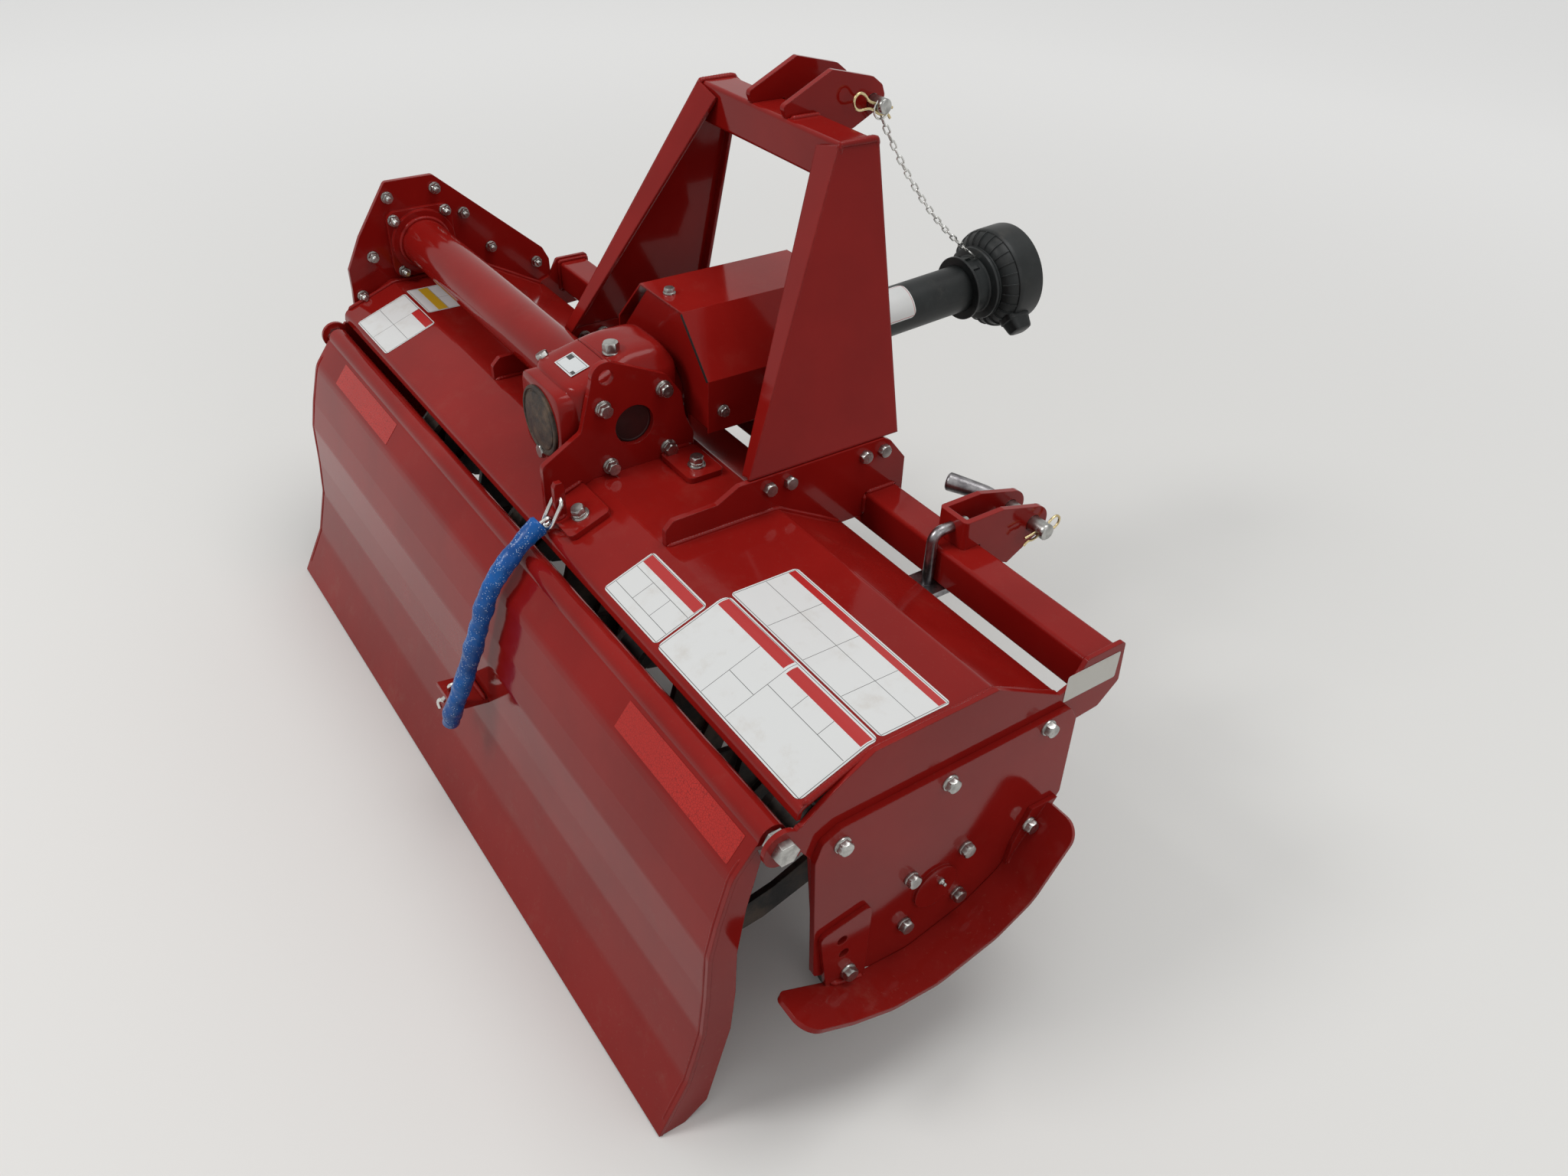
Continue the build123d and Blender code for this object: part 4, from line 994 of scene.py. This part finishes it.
lockSet = dict(
    place=(0.052, 0.474, 0.5346), axis=(0.766, 0.0, -0.643), across=0.018, along=0.0215, power=3.6,
    rings=((0.0, 1.0), (0.009, 1.0), (0.0105, 0.92), (0.024, 0.8), (0.027, 0.74), (0.0285, 0.6)),
)
u, v, w = basis(lockSet["axis"], (0, 1, 0))
p, q = superRing(lockSet["across"], lockSet["along"], 64, lockSet["power"])  # a rounded block, tapering out
spoke = p[:, None] * u + q[:, None] * v
rings = [np.array(lockSet["place"]) + spoke * scale + level * w for level, scale in lockSet["rings"]]
lock = joined("guardLock", [lofted(rings)])
turnOut(lock)
finishPiece(lock, finishes["black_guard"], "driveline", 32)
print("stage: driveline guard")


# Chains of real links
def linkAt(place, run, side, length, width, wire, sides=8, steps=8):
    # two half circles of radius width / 2, their centres pulled apart along the run
    run = np.asarray(run, float) / np.linalg.norm(run)
    side = np.asarray(side, float) - run * (np.asarray(side, float) @ run)
    side /= np.linalg.norm(side)
    radius = width / 2 - wire
    half = length / 2 - wire - radius
    t = np.linspace(-np.pi / 2, np.pi / 2, steps)
    bow = np.stack([half + radius * np.cos(t), radius * np.sin(t)], 1)
    ring = np.concatenate([bow, -bow])
    path = np.asarray(place) + ring[:, :1] * run + ring[:, 1:] * side
    return swept(path, wire, sides, hint=np.cross(run, side), closed=True)


chainSet = dict(
    top=(0.06, 0.171, 0.87), collar=(0.004, 0.406, 0.634), sag=(0.0, -0.012, -0.03),
    pitch=0.015, wire=0.00125, width=0.0088, overlap=2.2,
    ends=[  # place, run, side, length, width, wire of the ring on the pin and of the collar's clip
        ((0.0585, 0.171, 0.8795), (0, 0, 1), (0, 1, 0), 0.027, 0.026, 0.0014),
        ((0.004, 0.4165, 0.6255), (0.0, 0.8, -0.6), (1, 0, 0), 0.03, 0.011, 0.0015),
    ],
)
top, collar = np.array(chainSet["top"]), np.array(chainSet["collar"])
t = np.linspace(0, 1, 80)[:, None]
middle = (top + collar) / 2 + np.array(chainSet["sag"])
sagPath = (1 - t) ** 2 * top + 2 * t * (1 - t) * middle + t**2 * collar
count = int(round(lengthOf(sagPath) / chainSet["pitch"]))
pitch = lengthOf(sagPath) / count
places, runs = along(sagPath, (np.arange(count) + 0.5) * pitch)
parts = []
for k, (place, run) in enumerate(zip(places, runs)):
    u, v, _ = basis(run)
    a = 0.5 + (k % 2) * np.pi / 2 + 0.25 * np.sin(k * 1.7)  # each link a quarter turn on, and a little off
    side, wire = np.cos(a) * u + np.sin(a) * v, chainSet["wire"]
    parts.append(linkAt(place, run, side, pitch + wire * chainSet["overlap"], chainSet["width"], wire))
parts += [linkAt(*link) for link in chainSet["ends"]]
links = makePiece("guardChainLinks", parts, finishes["bright_chain"], None, 50)
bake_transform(links)
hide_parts("guard_chain")

sleeveSet = dict(
    line=[(0.101, -0.35, 0.4685), (0.103, -0.374, 0.455), (0.104, -0.423, 0.408), (0.1, -0.443, 0.35),
          (0.093, -0.46, 0.292), (0.081, -0.476, 0.236), (0.07, -0.4865, 0.2), (0.061, -0.4885, 0.174)],
    radius=0.0121, linkPitch=0.031, sides=36, step=0.0012,
    lump=0.07, halfLump=0.05, crease=0.018, wrinkle=0.012, flare=0.1, flareRun=0.006,
)
path = evenly(bent(sleeveSet["line"], 1.0, 10), sleeveSet["step"])
s = np.linspace(0, lengthOf(path), len(path))[:, None]
a = np.arange(sleeveSet["sides"])[None] * 2 * np.pi / sleeveSet["sides"]
turn = 2 * np.pi * s / sleeveSet["linkPitch"]
# r(s, a) = R (1 + lumps of the links inside, flat one way and then the other, + fine wrinkles)
r = 1 + sleeveSet["lump"] * np.sin(turn) * np.cos(2 * a + 0.8 * np.sin(s * 31))
r = r + sleeveSet["halfLump"] * np.sin(turn * 0.5 + 1.0)
r = r + sleeveSet["crease"] * np.sin(s * 640 + 3 * a) * np.cos(2 * a + s * 90)
r = r + sleeveSet["wrinkle"] * np.cos(5 * a + s * 400)
r = sleeveSet["radius"] * r * (1 + sleeveSet["flare"] * np.exp(-s / sleeveSet["flareRun"]))
ends = np.minimum(np.clip(s / 0.0015, 0.88, 1), np.clip((s[-1] - s) / 0.002, 0.8, 1))
sleeve = joined("gateSleeve", [swept(path, r * ends, sleeveSet["sides"], hint=(1, 0, 0))])
turnOut(sleeve)
finishPiece(sleeve, finishes["blue_sleeve"], None)
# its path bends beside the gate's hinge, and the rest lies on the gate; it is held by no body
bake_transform(sleeve)
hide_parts("gate_chain")

gateLinkSet = dict(
    top=[  # place, run, side, length, width, wire, sides, steps
        ((0.102, -0.333, 0.48), (0.0, -0.5, -0.87), (1, 0.1, 0), 0.048, 0.0245, 0.0027, 10, 12),
        ((0.1005, -0.346, 0.466), (-0.05, -0.86, -0.42), (0.3, -0.4, 0.8), 0.029, 0.0165, 0.0026, 10, 10),
    ],
    lug=[  # x, down and back from the hinge, run, side, length, width
        (0.043, 0.218, 0.074, (0.25, -0.05, 0.55), (0.2, 0.9, -0.1), 0.034, 0.021),
        (0.032, 0.236, 0.08, (0.72, -0.32, 0.55), (0.1, 0.8, 0.5), 0.033, 0.019),
    ],
    hook=[(0.03, 0.246, 0.083), (0.023, 0.247, 0.087), (0.02, 0.254, 0.088), (0.023, 0.262, 0.086)],
    wire=0.0029,
)
makePiece("gateChainTop", [linkAt(*link) for link in gateLinkSet["top"]],
          finishes["bright_chain"], "frame", 50)
parts = []
for x, down, back, run, side, length, width in gateLinkSet["lug"]:
    parts.append(linkAt(gatePoint(x, down, back), run, side, length, width, gateLinkSet["wire"], 10, 10))
hook = bent(gatePoint(*np.array(gateLinkSet["hook"]).T), 1.0, 6)
parts.append(swept(hook, gateLinkSet["wire"], 10, hint=(0.2, 0.9, 0.3)))
makePiece("gateChainHooks", parts, finishes["bright_chain"], "tailgate", 50)
print("stage: chains")

# Floor, world and lamps
stageSet = dict(
    size=80.0,
    floor=rgb(0.76, 0.75, 0.725), sky=rgb(0.66, 0.66, 0.65),  # as they are seen
    bounce=rgb(0.5, 0.48, 0.45), light=rgb(0.5, 0.505, 0.51),  # as they light the part
    glow=rgb(0.28, 0.282, 0.285), near=0.4, far=4.6,  # lifts the seen floor between these distances
    aim=(0, -0.1, 0.4),
    lamps=[  # name, place, size, watts
        ("keyLamp", (-0.7, -2.7, 3.3), 1.2, 48.0),
        ("fillLamp", (3.2, 0.6, 2.0), 2.0, 10.0),
        ("topLamp", (0.5, 0.7, 3.8), 2.0, 40.0),
    ],
)


def seen(g):  # 1 where the camera, a mirror or glass looks, 0 for the light that falls on the part
    names = ("Is Camera Ray", "Is Glossy Ray", "Is Transmission Ray")
    camera, gloss, glass = (g.node("ShaderNodeLightPath", out=name) for name in names)
    return camera.combine("MAXIMUM", gloss).combine("MAXIMUM", glass)


def makeFloor():
    g = Graph("paleFloor")
    speck = g.noise(3.0, 3.0)
    away = g.node("ShaderNodeVectorMath", dict(operation="LENGTH"), {0: g.place}, out="Value")
    look = seen(g)
    glowing = away.ramp(stageSet["near"], stageSet["far"]) * look
    g.finish(
        Base_Color=g.blendColor(look, stageSet["bounce"], stageSet["floor"]),
        Roughness=0.88 + speck * 0.08,
        Emission_Color=g.blendColor(glowing, rgb(0, 0, 0), stageSet["glow"]),
        Emission_Strength=1.0,
    )
    half = stageSet["size"] / 2
    corners = [(-half, -half, 0), (half, -half, 0), (half, half, 0), (-half, half, 0)]
    floor = meshObject("floor", corners, [(0, 1, 2, 3)], False)
    floor.data.materials.append(g.material)


def makeWorld():
    world = bpy.data.worlds.new("studio")
    bpy.context.scene.world = world
    world.use_nodes = True
    g = Graph("studio", world.node_tree)
    background = g.tree.nodes["Background"]
    color = g.blendColor(seen(g), stageSet["light"], stageSet["sky"])
    g.tree.links.new(color.socket, background.inputs["Color"])
    background.inputs["Strength"].default_value = 1.0


def makeLamps():
    for name, place, size, watts in stageSet["lamps"]:
        data = bpy.data.lights.new(name, "AREA")
        data.shape, data.size, data.energy = "DISK", size, watts
        obj = bpy.data.objects.new(name, data)
        aim = Vector(stageSet["aim"]) - Vector(place)
        obj.matrix_world = Matrix.Translation(place) @ aim.to_track_quat("-Z", "Y").to_matrix().to_4x4()
        bpy.context.scene.collection.objects.link(obj)


makeFloor()
makeWorld()
makeLamps()
print("stage: floor, world and lamps")
